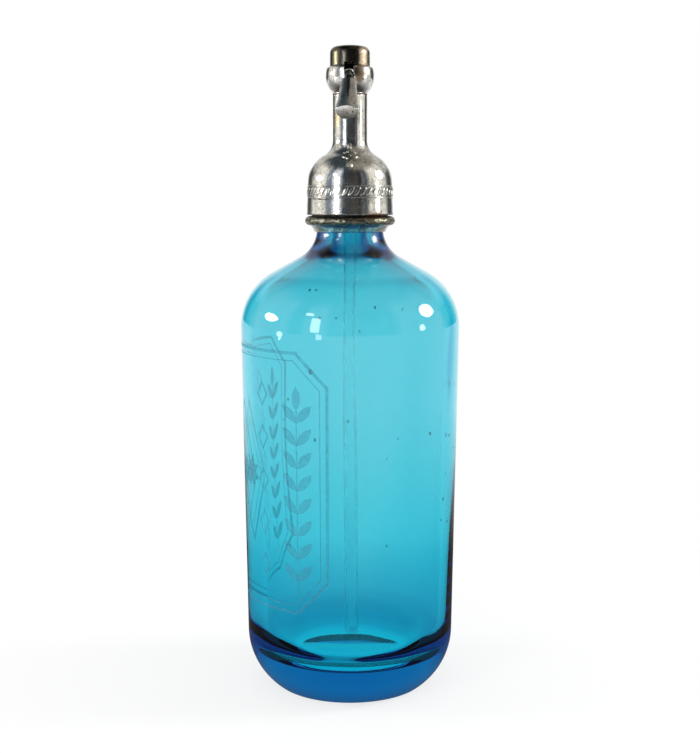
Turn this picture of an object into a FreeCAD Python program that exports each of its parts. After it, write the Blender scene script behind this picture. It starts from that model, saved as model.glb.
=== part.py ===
import FreeCAD, Part
import math
import os
import Sketcher

# A soda siphon: a heavy glass bottle with a clamped-on dispensing head.
# The origin is at the middle of the foot, +Z is up, the thumb lever points along -Y
# and the spout along +Y. Lengths are in millimetres, angles in degrees.
# Every size below stands in one cell of the sheet. Places named "at" are counted down the
# lever from its pin.

SIZES = {
    # glass bottle
    "foot_radius": 36.6,
    "foot_recess_radius": 27.0,
    "foot_recess_depth": 2.4,
    "heel_radius": 33.0,
    "heel_turn": 53.0,
    "body_radius": 51.95,
    "body_height": 173.3,
    "shoulder_radius": 29.5,
    "shoulder_slope": 61.4,
    "throat_radius": 15.6,
    "neck_radius": 15.6,
    "neck_length": 14.1,
    "lip_overhang": 1.8,
    "lip_height": 6.0,
    "lip_round": 1.4,
    "glass_wall": 4.9,
    "floor_thickness": 17.5,
    "inner_heel_radius": 22.0,
    # split collar
    "lip_ring_thickness": 1.0,
    "collar_clearance": 0.3,
    "thread_step": 0.9,
    "collar_thread_length": 7.5,
    "bead_height": 4.1,
    "bead_overhang": 3.4,
    "bead_bulge": 3.4,
    "bead_round": 0.7,
    "skirt_height": 3.1,
    "skirt_wall": 1.6,
    "skirt_flare": 0.5,
    "split_angle": 1.6,
    "split_azimuth": 24.5,
    # bell and stem
    "bell_clearance": 0.3,
    "bell_wall": 1.3,
    "bell_taper": 0.55,
    "bell_rim_gap": 0.7,
    "bell_rim_round": 0.5,
    "bell_shoulder_drop": 1.4,
    "bell_shoulder_radius": 14.5,
    "bell_shoulder_turn": 62.0,
    "bell_hollow_radius": 12.6,
    "bell_hollow_depth": 3.0,
    "bell_funnel_height": 5.5,
    "stem_radius": 8.05,
    "stem_length": 20.7,
    "stem_bore": 4.0,
    # dip tube and its seat
    "tube_radius": 3.35,
    "tube_wall": 1.1,
    "tube_floor_gap": 5.0,
    "tube_rise": 8.0,
    "tube_clearance": 0.1,
    "mouth_gasket_thickness": 2.4,
    "seat_flange_thickness": 2.0,
    "seat_flange_clearance": 0.4,
    "gasket_clearance": 0.3,
    "seat_shank_radius": 6.6,
    "seat_shank_length": 8.0,
    "tube_ring_thickness": 2.6,
    "tube_ring_wall": 3.2,
    # valve body
    "stem_washer_thickness": 0.5,
    "ball_radius": 11.3,
    "ball_rise": 8.3,
    "ball_crown": 4.2,
    "ball_edge_round": 1.5,
    "nipple_radius": 5.6,
    "nipple_length": 6.3,
    "nipple_clearance": 0.05,
    "nipple_end_gap": 0.5,
    "chamber_floor": 0.8,
    "chamber_radius": 5.0,
    "head_bore": 6.4,
    "neck_wall": 1.8,
    "head_neck_height": 6.0,
    # spout
    "spout_radius": 3.6,
    "spout_headroom": 0.2,
    "spout_bore": 2.3,
    "spout_rise": 14.0,
    "spout_root_gap": 0.2,
    "spout_run": 16.0,
    "spout_bend": 16.0,
    "spout_fall": 80.0,
    "spout_drop": 8.0,
    "spout_root_round": 1.0,
    "spout_lip_width": 0.7,
    "spout_lip_length": 2.4,
    "spout_lip_round": 0.5,
    # valve seat and plunger
    "seat_fit": 0.05,
    "seat_flange_radius": 4.6,
    "seat_flange_height": 0.7,
    "seat_lip_height": 0.4,
    "seat_lip_width": 0.7,
    "seat_bore": 2.4,
    "seat_shank_wall": 1.1,
    "seat_shank_depth": 4.5,
    "valve_gap": 0.1,
    "washer_radius": 3.6,
    "washer_thickness": 1.5,
    "cup_depth": 0.9,
    "cup_roof": 0.9,
    "cup_wall": 0.6,
    "cup_fit": 0.1,
    "screw_head_radius": 1.7,
    "screw_head_height": 0.8,
    "screw_head_bevel": 0.4,
    "screw_shank_radius": 0.9,
    "screw_grip": 2.5,
    "rod_radius": 1.8,
    "rod_clearance": 0.06,
    "lift_clearance": 0.35,
    "gland_seal_thickness": 1.2,
    "gland_ring_thickness": 0.8,
    "gland_fit": 0.1,
    "block_gap": 0.3,
    "block_radius": 2.9,
    "web_thickness": 0.9,
    "window_height": 3.5,
    "window_clearance": 0.2,
    "flange_radius": 4.4,
    "flange_thickness": 0.9,
    "spring_boss_radius": 2.6,
    "spring_boss_height": 1.4,
    # lever and its pin
    "pin_reach": 8.3,
    "pin_rise": 1.4,
    "pin_radius": 0.8,
    "pin_clearance": 0.05,
    "lever_travel": 14.0,
    "lever_slope": 40.0,
    "eye_radius": 1.6,
    "eye_width": 3.6,
    "slot_clearance": 0.4,
    "sill_clearance": 0.3,
    "tongue_width": 2.4,
    "tongue_radius": 0.8,
    "tongue_clearance": 0.1,
    "arm_root": 0.9,
    "paddle_root_at": 0.9,
    "paddle_neck_at": 4.2,
    "paddle_shoulder_at": 8.2,
    "paddle_waist_at": 17.9,
    "paddle_end_at": 28.8,
    "paddle_shoulder_width": 7.0,
    "paddle_waist_width": 8.3,
    "paddle_end_width": 10.6,
    "paddle_face": 1.2,
    "paddle_neck_crown": 0.5,
    "paddle_crown": 1.1,
    "paddle_side": 1.2,
    "paddle_neck_belly": 1.2,
    "paddle_shoulder_belly": 2.2,
    "paddle_waist_belly": 3.1,
    "paddle_end_belly": 4.2,
    "paddle_edge_round": 0.6,
    "paddle_end_round": 0.5,
    # cap, gasket and spring
    "cap_gap": 0.1,
    "cap_clearance": 0.1,
    "cap_wall": 1.0,
    "cap_gasket_thickness": 0.8,
    "cap_gasket_wall": 3.0,
    "cap_roof": 1.8,
    "cap_edge_radius": 3.2,
    "cap_edge_turn": 78.0,
    "cap_pocket_radius": 4.7,
    "cap_pocket_depth": 1.2,
    "notch_height": 1.4,
    "spring_radius": 3.6,
    "spring_wire": 0.7,
    "spring_turns": 4.0,
    "spring_gap": 0.05,
}

doc = FreeCAD.newDocument("soda_siphon")
sheet = doc.addObject("Spreadsheet::Sheet", "sizes")
for row, (alias, number) in enumerate(SIZES.items(), start=1):
    sheet.set(f"A{row}", alias)
    sheet.set(f"B{row}", str(number))
    sheet.setAlias(f"B{row}", alias)
doc.recompute()


# ---------------------------------------------------------------- sums of sizes


class Size:
    """A number of the model with the same sum written over the sheet's cells."""

    def __init__(self, number, cells):
        self.number = number
        self.cells = cells

    def __add__(self, other):
        return Size(self.number + number_of(other), f"({self.cells} + {cells_of(other)})")

    def __sub__(self, other):
        return Size(self.number - number_of(other), f"({self.cells} - {cells_of(other)})")

    def __mul__(self, other):
        return Size(self.number * number_of(other), f"({self.cells} * {cells_of(other)})")

    def __truediv__(self, other):
        return Size(self.number / number_of(other), f"({self.cells} / {cells_of(other)})")

    def __neg__(self):
        return Size(-self.number, f"(0 - {self.cells})")

    def __rsub__(self, other):
        return Size(number_of(other) - self.number, f"({cells_of(other)} - {self.cells})")

    __radd__ = __add__
    __rmul__ = __mul__


def number_of(term):
    return term.number if isinstance(term, Size) else term


def cells_of(term):
    return term.cells if isinstance(term, Size) else repr(term)


def size(alias):
    """The size that stands in the sheet under this name."""
    return Size(SIZES[alias], f"sizes.{alias}")


def sine(angle):
    return Size(math.sin(math.radians(number_of(angle))), f"sin({cells_of(angle)})")


def cosine(angle):
    return Size(math.cos(math.radians(number_of(angle))), f"cos({cells_of(angle)})")


def root(square):
    return Size(math.sqrt(number_of(square)), f"sqrt({cells_of(square)})")


# ---------------------------------------------------------------- building blocks

SAME_PLACE = 0.01  # two places or radii nearer than this are the same


def new_body(label, height=0, across=0):
    """A body whose own origin stands at this height, and this far from the axis along Y."""
    body = doc.addObject("PartDesign::Body", label)
    body.Label = label
    body.setExpression("Placement.Base.y", cells_of(across))
    body.setExpression("Placement.Base.z", cells_of(height))
    return body


def new_sketch(body, name, role):
    """A sketch lying on one of the body's own origin planes."""
    sketch = body.newObject("Sketcher::SketchObject", name)
    plane = next(item for item in body.Origin.OriginFeatures if item.Role == role)
    sketch.AttachmentSupport = [(plane, "")]
    sketch.MapMode = "FlatFace"
    return sketch


def bind_constraint(sketch, kind, name, places, amount):
    """Add a measured constraint and bind it to the sheet."""
    index = sketch.addConstraint(Sketcher.Constraint(kind, *places, number_of(amount)))
    sketch.renameConstraint(index, name)
    sketch.setExpression(f"Constraints.{name}", cells_of(amount))


def hold_point(sketch, edge, end, name, across, up):
    """Hold one end of a sketch edge at its distances from the sketch's origin."""
    axes = {"DistanceX": ("across", across, -2), "DistanceY": ("up", up, -1)}
    for kind, (word, distance, axis) in axes.items():
        if number_of(distance) == 0:
            sketch.addConstraint(Sketcher.Constraint("PointOnObject", edge, end, axis))
        elif number_of(distance) > 0:
            bind_constraint(sketch, kind, f"{word}_{name}", (-1, 1, edge, end), distance)
        else:
            bind_constraint(sketch, kind, f"{word}_{name}", (edge, end, -1, 1), -distance)


def arc_between(start, end, radius, side):
    """The minor arc from start to end. A convex one has its centre left of the way along."""
    chord = end - start
    middle = (start + end) * 0.5
    height = math.sqrt(radius**2 - (chord.Length / 2) ** 2)
    left = FreeCAD.Vector(-chord.y, chord.x, 0).normalize()
    centre = middle + left * height * (1 if side == "convex" else -1)
    first, last = (start, end) if side == "convex" else (end, start)
    angles = [math.atan2(point.y - centre.y, point.x - centre.x) for point in (first, last)]
    circle = Part.Circle(centre, FreeCAD.Vector(0, 0, 1), radius)
    return Part.ArcOfCircle(circle, *angles)


def outline(sketch, corners, closed=True):
    """Lines and arcs through the corners, anticlockwise, each corner (across, up) or
    (across, up, side, radius) where the edge that leaves it is an arc."""
    points = [FreeCAD.Vector(number_of(c[0]), number_of(c[1]), 0) for c in corners]
    count = len(corners) if closed else len(corners) - 1
    ends = []
    for index in range(count):
        start, end = points[index], points[(index + 1) % len(points)]
        corner = corners[index]
        if len(corner) == 2:
            edge = sketch.addGeometry(Part.LineSegment(start, end))
            ends.append((edge, 1, 2))
            continue
        side, radius = corner[2:]
        edge = sketch.addGeometry(arc_between(start, end, number_of(radius), side))
        ends.append((edge, 1, 2) if side == "convex" else (edge, 2, 1))
        bind_constraint(sketch, "Radius", f"bend_{index}", (edge,), radius)
    for index, (edge, first, last) in enumerate(ends):
        hold_point(sketch, edge, first, str(index), *corners[index][:2])
        if closed or index + 1 < count:
            following = ends[(index + 1) % count]
            joint = (edge, last, following[0], following[1])
            sketch.addConstraint(Sketcher.Constraint("Coincident", *joint))
    if not closed:
        hold_point(sketch, ends[-1][0], ends[-1][2], str(count), *corners[-1][:2])
    return sketch


def circle_at(sketch, name, across, up, radius):
    """A circle held at its centre and its radius."""
    centre = FreeCAD.Vector(number_of(across), number_of(up), 0)
    circle = Part.Circle(centre, FreeCAD.Vector(0, 0, 1), number_of(radius))
    edge = sketch.addGeometry(circle)
    hold_point(sketch, edge, 3, name, across, up)
    bind_constraint(sketch, "Radius", f"round_{name}", (edge,), radius)
    return sketch


def turned(body, name, corners, kind="PartDesign::Revolution", angle=360):
    """Turn a profile of (radius, height) corners round the body's own Z axis."""
    sketch = outline(new_sketch(body, f"{name}_profile", "XZ_Plane"), corners)
    feature = body.newObject(kind, name)
    feature.Profile = sketch
    feature.ReferenceAxis = (sketch, ["V_Axis"])
    feature.setExpression("Angle", cells_of(angle))
    return feature


def slab(body, name, sketch, width, kind="PartDesign::Pad"):
    """Pad or pocket a sketch by the same distance to both of its sides."""
    feature = body.newObject(kind, name)
    feature.Profile = sketch
    feature.SideType = "Symmetric"
    feature.setExpression("Length", cells_of(width))
    return feature


def rounded(body, name, radius, wanted):
    """Fillet the edges of the body's tip that the test picks out."""
    doc.recompute()
    base = body.Tip
    edges = [f"Edge{i}" for i, edge in enumerate(base.Shape.Edges, start=1) if wanted(edge)]
    feature = body.newObject("PartDesign::Fillet", name)
    feature.Base = (base, edges)
    feature.setExpression("Radius", cells_of(radius))
    return feature


def middle_of(edge):
    return edge.valueAt((edge.FirstParameter + edge.LastParameter) / 2)


def rings(*places):
    """A test for circular edges round the body's Z axis: each place is (radius, height)."""
    wanted = [(number_of(radius), number_of(height)) for radius, height in places]

    def test(edge):
        if edge.Degenerated or not isinstance(edge.Curve, Part.Circle):
            return False
        centre = edge.Curve.Center
        found = (edge.Curve.Radius, centre.z)
        on_axis = math.hypot(centre.x, centre.y) < SAME_PLACE
        return on_axis and any(math.dist(found, place) < SAME_PLACE for place in wanted)

    return test


# ---------------------------------------------------------------- levels, from the foot up

slope = size("shoulder_slope")
wall_foot = size("foot_radius") + size("heel_radius") * (1 - cosine(size("heel_turn")))
heel_top = size("heel_radius") * sine(size("heel_turn"))
shoulder_end = (
    size("body_radius") - size("shoulder_radius") * (1 - cosine(slope)),
    size("body_height") + size("shoulder_radius") * sine(slope),
)
throat_start_radius = size("neck_radius") + size("throat_radius") * (1 - cosine(slope))
slope_length = (shoulder_end[0] - throat_start_radius) / sine(slope)
throat_start = (throat_start_radius, shoulder_end[1] + slope_length * cosine(slope))
neck_base = throat_start[1] + size("throat_radius") * sine(slope)
lip_bottom = neck_base + size("neck_length")
lip_top = lip_bottom + size("lip_height")
lip_radius = size("neck_radius") + size("lip_overhang")
mouth_radius = size("neck_radius") - size("glass_wall")

collar_top = lip_bottom - size("lip_ring_thickness")
bead_top = collar_top - size("collar_thread_length")
collar_foot = bead_top - size("bead_height") - size("skirt_height")
collar_bore = size("neck_radius") + size("collar_clearance")
collar_thread = lip_radius + size("thread_step")

gasket_top = lip_top + size("mouth_gasket_thickness")
seat_flange_top = gasket_top + size("seat_flange_thickness")

bell_rim = bead_top + size("bell_rim_gap")
bell_bore = collar_thread + size("bell_clearance")
bell_radius = bell_bore + size("bell_wall")
bell_ceiling = gasket_top - bell_rim
bell_turn = size("bell_shoulder_turn")
bell_shoulder_foot = bell_ceiling - size("bell_shoulder_drop")
bell_shoulder_end = (
    bell_radius - size("bell_shoulder_radius") * (1 - cosine(bell_turn)),
    bell_shoulder_foot + size("bell_shoulder_radius") * sine(bell_turn),
)
flare_radius = (bell_shoulder_end[0] - size("stem_radius")) / (1 - cosine(bell_turn))
stem_foot = bell_shoulder_end[1] + flare_radius * sine(bell_turn)
stem_top = stem_foot + size("stem_length")

# The ball's foot is the level that everything in the head is counted from.
ball_foot = bell_rim + stem_top + size("stem_washer_thickness")
ball_top = size("ball_rise") + size("ball_crown")
head_neck_radius = size("head_bore") + size("neck_wall")
neck_top = ball_top + size("head_neck_height")
seat_shank = size("seat_bore") + size("seat_shank_wall")
nipple_bore = seat_shank + size("seat_fit")

seat_lip_top = size("chamber_floor") + size("seat_flange_height") + size("seat_lip_height")
washer_foot = seat_lip_top + size("valve_gap")
washer_top = washer_foot + size("washer_thickness")
cup_foot = washer_top - size("cup_depth")
cup_top = washer_top + size("cup_roof")
valve_lift = size("pin_reach") * size("lever_travel") * (math.pi / 180)
ledge = cup_top + valve_lift + size("lift_clearance")
gland_top = ledge + size("gland_seal_thickness") + size("gland_ring_thickness")
block_foot = gland_top + size("block_gap")
window_foot = block_foot + size("web_thickness")
window_top = window_foot + size("window_height")
flange_top = window_top + size("flange_thickness")
rise = size("spout_rise")
outlet_level = (
    ledge
    - size("spout_headroom")
    - size("spout_bore") / cosine(rise)
    - size("chamber_radius") * sine(rise) / cosine(rise)
)
cap_foot = ball_top + size("cap_gap")
cap_bore = head_neck_radius + size("cap_clearance")
slot_width = size("eye_width") + 2 * size("slot_clearance")
slot_top = cap_foot + size("notch_height")
gasket_seat = neck_top + size("cap_gasket_thickness")
pocket_roof = gasket_seat + size("cap_pocket_depth")
pin_level = size("ball_rise") + size("pin_rise")


# ---------------------------------------------------------------- glass bottle


def make_bottle():
    """Thick blown glass of even wall, with a heavy foot and a lip for the collar."""
    body = new_body("bottle")
    wall = size("glass_wall")
    inner_turn = (wall * cosine(slope), wall * sine(slope))
    recess = size("foot_recess_radius")
    depth = size("foot_recess_depth")
    recess_bend = (recess * recess + depth * depth) / (2 * depth)
    inner_heel = size("inner_heel_radius")
    floor = size("floor_thickness")
    corners = [
        (0, depth, "hollow", recess_bend),
        (recess, 0),
        (size("foot_radius"), 0, "convex", size("heel_radius")),
        (wall_foot, heel_top),
        (size("body_radius"), size("body_height"), "convex", size("shoulder_radius")),
        shoulder_end,
        (*throat_start, "hollow", size("throat_radius")),
        (size("neck_radius"), neck_base),
        (size("neck_radius"), lip_bottom),
        (lip_radius, lip_bottom),
        (lip_radius, lip_top),
        (mouth_radius, lip_top),
        (mouth_radius, neck_base, "convex", size("throat_radius") + wall),
        (throat_start[0] - inner_turn[0], throat_start[1] - inner_turn[1]),
        (
            shoulder_end[0] - inner_turn[0],
            shoulder_end[1] - inner_turn[1],
            "hollow",
            size("shoulder_radius") - wall,
        ),
        (size("body_radius") - wall, size("body_height")),
        (wall_foot - wall, floor + inner_heel, "hollow", inner_heel),
        (wall_foot - wall - inner_heel, floor),
        (0, floor),
    ]
    turned(body, "blown_glass", corners)
    lip_edges = rings((lip_radius, lip_bottom), (lip_radius, lip_top), (mouth_radius, lip_top))
    rounded(body, "lip_rounding", size("lip_round"), lip_edges)
    return body


def ring(label, height, inner, outer, thickness):
    """A plain flat ring standing at this height."""
    body = new_body(label, height)
    corners = [(inner, 0), (outer, 0), (outer, thickness), (inner, thickness)]
    turned(body, "flat_ring", corners)
    return body


# ---------------------------------------------------------------- split collar


def make_collar_half(label, azimuth):
    """Half of the collar: skirt below, rolled bead, threaded part above."""
    body = new_body(label, collar_foot)
    body.setExpression("Placement.Rotation.Angle", cells_of(azimuth))
    skirt_top = size("skirt_height")
    rim = skirt_top + size("bead_height")
    skirt = collar_bore + size("skirt_wall")
    skirt_wide = skirt + size("skirt_flare")
    bead = skirt_wide + size("bead_overhang")
    top = rim + size("collar_thread_length")
    corners = [
        (collar_bore, 0),
        (skirt, 0),
        (skirt_wide, skirt_top, "convex", size("bead_bulge")),
        (bead, rim - size("bead_round")),
        (bead - size("bead_round"), rim),
        (collar_thread, rim),
        (collar_thread, top),
        (collar_bore, top),
    ]
    half = turned(body, "half_turn", corners, angle=180 - size("split_angle"))
    half.Midplane = True
    return body


# ---------------------------------------------------------------- bell and stem


def make_bell():
    """The bell-shaped cover and its long stem, one casting, hollow for the tube's seat."""
    body = new_body("bell", bell_rim)
    socket = size("nipple_radius") + size("nipple_clearance")
    socket_floor = stem_top - size("nipple_length") - size("nipple_end_gap")
    hollow_top = bell_ceiling + size("bell_hollow_depth")
    funnel_top = hollow_top + size("bell_funnel_height")
    rim_radius = bell_radius + size("bell_taper")
    corners = [
        (bell_bore, 0),
        (rim_radius, 0),
        (bell_radius, bell_shoulder_foot, "convex", size("bell_shoulder_radius")),
        (*bell_shoulder_end, "hollow", flare_radius),
        (size("stem_radius"), stem_foot),
        (size("stem_radius"), stem_top),
        (socket, stem_top),
        (socket, socket_floor),
        (size("stem_bore"), socket_floor),
        (size("stem_bore"), funnel_top),
        (size("bell_hollow_radius"), hollow_top),
        (size("bell_hollow_radius"), bell_ceiling),
        (bell_bore, bell_ceiling),
    ]
    turned(body, "bell_casting", corners)
    rounded(body, "rim_rounding", size("bell_rim_round"), rings((rim_radius, 0)))
    return body


# ---------------------------------------------------------------- dip tube


def make_dip_tube():
    """Glass tube from just above the bottle's floor up into the stem."""
    foot = size("floor_thickness") + size("tube_floor_gap")
    length = seat_flange_top + size("tube_rise") - foot
    bore = size("tube_radius") - size("tube_wall")
    return ring("dip_tube", foot, bore, size("tube_radius"), length)


def make_tube_seat():
    """Flanged bush: the flange lies on the mouth gasket, the shank hangs in the mouth."""
    body = new_body("tube_seat", gasket_top)
    bore = size("tube_radius") + size("tube_clearance")
    flange = size("bell_hollow_radius") - size("seat_flange_clearance")
    corners = [
        (bore, -size("seat_shank_length")),
        (size("seat_shank_radius"), -size("seat_shank_length")),
        (size("seat_shank_radius"), 0),
        (flange, 0),
        (flange, size("seat_flange_thickness")),
        (bore, size("seat_flange_thickness")),
    ]
    turned(body, "flanged_bush", corners)
    return body


# ---------------------------------------------------------------- valve body and spout


def spout_point(along):
    """A place on the straight first run of the spout, by its distance from the axis."""
    return (along * cosine(rise), outlet_level + along * sine(rise))


def across_spout(body, name, place, heading, radius):
    """A circle square to the spout, at a place in its side view."""
    sketch = new_sketch(body, name, "XY_Plane")
    tilt = heading - 90
    sketch.AttachmentOffset = FreeCAD.Placement(
        FreeCAD.Vector(), FreeCAD.Rotation(FreeCAD.Vector(1, 0, 0), number_of(tilt))
    )
    sketch.setExpression("AttachmentOffset.Base.y", cells_of(place[0]))
    sketch.setExpression("AttachmentOffset.Base.z", cells_of(place[1]))
    sketch.setExpression("AttachmentOffset.Rotation.Angle", cells_of(tilt))
    return circle_at(sketch, "section", 0, 0, radius)


def spout_pipe(body, name, kind, start, tip, bend, radius):
    """Add or cut a round pipe along the spout: a rising run, a bend and a fall to the tip."""
    path = new_sketch(body, f"{name}_path", "YZ_Plane")
    corners = [start, (*spout_point(size("spout_run")), "hollow", size("spout_bend")), bend, tip]
    feature = body.newObject(kind, name)
    feature.Profile = across_spout(body, f"{name}_section", start, rise, radius)
    feature.Spine = (outline(path, corners, closed=False), [])
    return feature


def add_spout(body):
    """The cast spout with its beaded tip, and the bore from the chamber through it."""
    fall = size("spout_fall")
    run_end = spout_point(size("spout_run"))
    bend = (
        run_end[0] + size("spout_bend") * (sine(rise) + sine(fall)),
        run_end[1] - size("spout_bend") * (cosine(rise) - cosine(fall)),
    )
    tip = (
        bend[0] + size("spout_drop") * cosine(fall),
        bend[1] - size("spout_drop") * sine(fall),
    )
    radius = size("spout_radius")
    in_wall = (size("head_bore") + size("spout_root_gap") + radius * sine(rise)) / cosine(rise)
    spout_pipe(body, "spout", "PartDesign::AdditivePipe", spout_point(in_wall), tip, bend, radius)

    centre = FreeCAD.Vector(0, 0, number_of(size("ball_rise")))
    ball = number_of(size("ball_radius"))

    def at_root(edge):
        point = middle_of(edge)
        on_ball = abs(point.distanceToPoint(centre) - ball) < SAME_PLACE
        return on_ball and math.hypot(point.x, point.y - ball) < number_of(2 * radius)

    rounded(body, "spout_root", size("spout_root_round"), at_root)
    lip = size("spout_lip_length")
    bead_radius = radius + size("spout_lip_width")
    bead_foot = (tip[0] - lip * cosine(fall), tip[1] + lip * sine(fall))
    bead = body.newObject("PartDesign::Pad", "spout_bead")
    bead.Profile = across_spout(body, "bead_section", bead_foot, -fall, bead_radius)
    bead.setExpression("Length", cells_of(lip))

    def on_bead(edge):
        curve = edge.Curve
        wanted = number_of(bead_radius)
        return isinstance(curve, Part.Circle) and abs(curve.Radius - wanted) < SAME_PLACE

    rounded(body, "bead_rounding", size("spout_lip_round"), on_bead)
    start = (0, outlet_level)
    spout_pipe(body, "bore", "PartDesign::SubtractivePipe", start, tip, bend, size("spout_bore"))


def make_valve_body():
    """The ball with its threaded nipple and neck, the spout, the lever slot and the pin hole."""
    body = new_body("valve_body", ball_foot)
    ball = size("ball_radius")
    foot = size("stem_radius")
    foot_meets_ball = size("ball_rise") - root(ball * ball - foot * foot)
    shoulder = root(ball * ball - size("ball_crown") * size("ball_crown"))
    corners = [
        (nipple_bore, -size("nipple_length")),
        (size("nipple_radius"), -size("nipple_length")),
        (size("nipple_radius"), 0),
        (foot, 0),
        (foot, foot_meets_ball, "convex", ball),
        (shoulder, ball_top),
        (head_neck_radius, ball_top),
        (head_neck_radius, neck_top),
        (size("head_bore"), neck_top),
        (size("head_bore"), ledge),
        (size("chamber_radius"), ledge),
        (size("chamber_radius"), size("chamber_floor")),
        (nipple_bore, size("chamber_floor")),
    ]
    turned(body, "ball_casting", corners)
    rounded(body, "ball_edge", size("ball_edge_round"), rings((shoulder, ball_top)))
    add_spout(body)

    drop = size("lever_slope") + size("lever_travel")
    reach = size("eye_radius") + size("sill_clearance")
    sill = (
        reach * sine(drop) - size("pin_reach"),
        pin_level - reach * cosine(drop),
    )
    sill_length = (ball + sill[0]) / cosine(drop) + reach
    corners = [
        (-size("chamber_radius"), sill[1]),
        (-size("chamber_radius"), slot_top),
        (sill[0] - sill_length * cosine(drop), slot_top),
        (sill[0] - sill_length * cosine(drop), sill[1] - sill_length * sine(drop)),
        sill,
    ]
    side = outline(new_sketch(body, "slot_side", "YZ_Plane"), corners)
    slab(body, "lever_slot", side, slot_width, "PartDesign::Pocket")
    side = new_sketch(body, "pin_hole_side", "YZ_Plane")
    circle_at(side, "pin", -size("pin_reach"), pin_level, size("pin_radius"))
    slab(body, "pin_hole", side, 2 * ball, "PartDesign::Pocket")
    return body


def make_lever_pin():
    """The cross pin, its two ends dressed flush with the ball."""
    rod = doc.addObject("Part::Cylinder", "pin_rod")
    rod.setExpression("Radius", cells_of(size("pin_radius")))
    rod.setExpression("Height", cells_of(2 * size("ball_radius")))
    rod.Placement.Rotation = FreeCAD.Rotation(FreeCAD.Vector(0, 1, 0), 90)
    rod.setExpression("Placement.Base.x", cells_of(-size("ball_radius")))
    rod.setExpression("Placement.Base.y", cells_of(-size("pin_reach")))
    rod.setExpression("Placement.Base.z", cells_of(ball_foot + pin_level))
    ball = doc.addObject("Part::Sphere", "pin_ends")
    ball.setExpression("Radius", cells_of(size("ball_radius")))
    ball.setExpression("Placement.Base.z", cells_of(ball_foot + size("ball_rise")))
    pin = doc.addObject("Part::Common", "lever_pin")
    pin.Base = rod
    pin.Tool = ball
    pin.Label = "lever_pin"
    return pin


# ---------------------------------------------------------------- valve inside the ball


def make_valve_seat():
    """The seat bush: a shank in the nipple, a flange on the chamber's floor, a raised lip."""
    body = new_body("valve_seat", ball_foot + size("chamber_floor"))
    bore = size("seat_bore")
    flange = size("seat_flange_height")
    lip = bore + size("seat_lip_width")
    corners = [
        (bore, -size("seat_shank_depth")),
        (seat_shank, -size("seat_shank_depth")),
        (seat_shank, 0),
        (size("seat_flange_radius"), 0),
        (size("seat_flange_radius"), flange),
        (lip, flange),
        (lip, flange + size("seat_lip_height")),
        (bore, flange + size("seat_lip_height")),
    ]
    turned(body, "seat_bush", corners)
    return body


def make_washer_screw():
    """The screw that holds the rubber disc and its cup to the plunger."""
    head = size("screw_head_height")
    bevel = size("screw_head_bevel")
    body = new_body("washer_screw", ball_foot + washer_foot - head)
    grip = size("washer_thickness") + size("cup_roof") + size("screw_grip")
    corners = [
        (0, 0),
        (size("screw_head_radius") - bevel, 0),
        (size("screw_head_radius"), bevel),
        (size("screw_head_radius"), head),
        (size("screw_shank_radius"), head),
        (size("screw_shank_radius"), head + grip),
        (0, head + grip),
    ]
    turned(body, "screw_blank", corners)
    return body


def make_valve_cup():
    """The cup that carries the rubber disc."""
    body = new_body("valve_cup", ball_foot + cup_foot)
    inner = size("washer_radius") + size("cup_fit")
    outer = inner + size("cup_wall")
    top = size("cup_depth") + size("cup_roof")
    corners = [
        (inner, 0),
        (outer, 0),
        (outer, top),
        (size("screw_shank_radius"), top),
        (size("screw_shank_radius"), size("cup_depth")),
        (inner, size("cup_depth")),
    ]
    turned(body, "cup_blank", corners)
    return body


def make_plunger():
    """The rod through the gland, the windowed block for the lever and the spring's flange."""
    body = new_body("plunger", ball_foot + cup_top)
    block = block_foot - cup_top
    window = window_foot - cup_top
    roof = window_top - cup_top
    flange = flange_top - cup_top
    boss = flange + size("spring_boss_height")
    corners = [
        (size("screw_shank_radius"), 0),
        (size("rod_radius"), 0),
        (size("rod_radius"), block),
        (size("block_radius"), block),
        (size("block_radius"), roof),
        (size("flange_radius"), roof),
        (size("flange_radius"), flange),
        (size("spring_boss_radius"), flange),
        (size("spring_boss_radius"), boss),
        (0, boss),
        (0, size("screw_grip")),
        (size("screw_shank_radius"), size("screw_grip")),
    ]
    turned(body, "turned_rod", corners)
    half = size("tongue_width") / 2 + size("window_clearance")
    corners = [(-half, window), (half, window), (half, roof), (-half, roof)]
    front = outline(new_sketch(body, "window_front", "XZ_Plane"), corners)
    slab(body, "lever_window", front, 2 * size("flange_radius"), "PartDesign::Pocket")
    return body


def make_return_spring():
    """A coil spring between the plunger's flange and the cap's roof."""
    body = new_body("return_spring", ball_foot + flange_top)
    wire = size("spring_wire") / 2
    gap = size("spring_gap")
    climb = pocket_roof - flange_top - size("spring_wire") - 2 * gap
    section = new_sketch(body, "wire_section", "XZ_Plane")
    circle_at(section, "wire", size("spring_radius"), wire + gap, wire)
    coil = body.newObject("PartDesign::AdditiveHelix", "coil")
    coil.Profile = section
    coil.ReferenceAxis = (section, ["V_Axis"])
    coil.Mode = "height-turns-angle"
    coil.setExpression("Height", cells_of(climb))
    coil.setExpression("Turns", cells_of(size("spring_turns")))
    return body


# ---------------------------------------------------------------- cap


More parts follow.
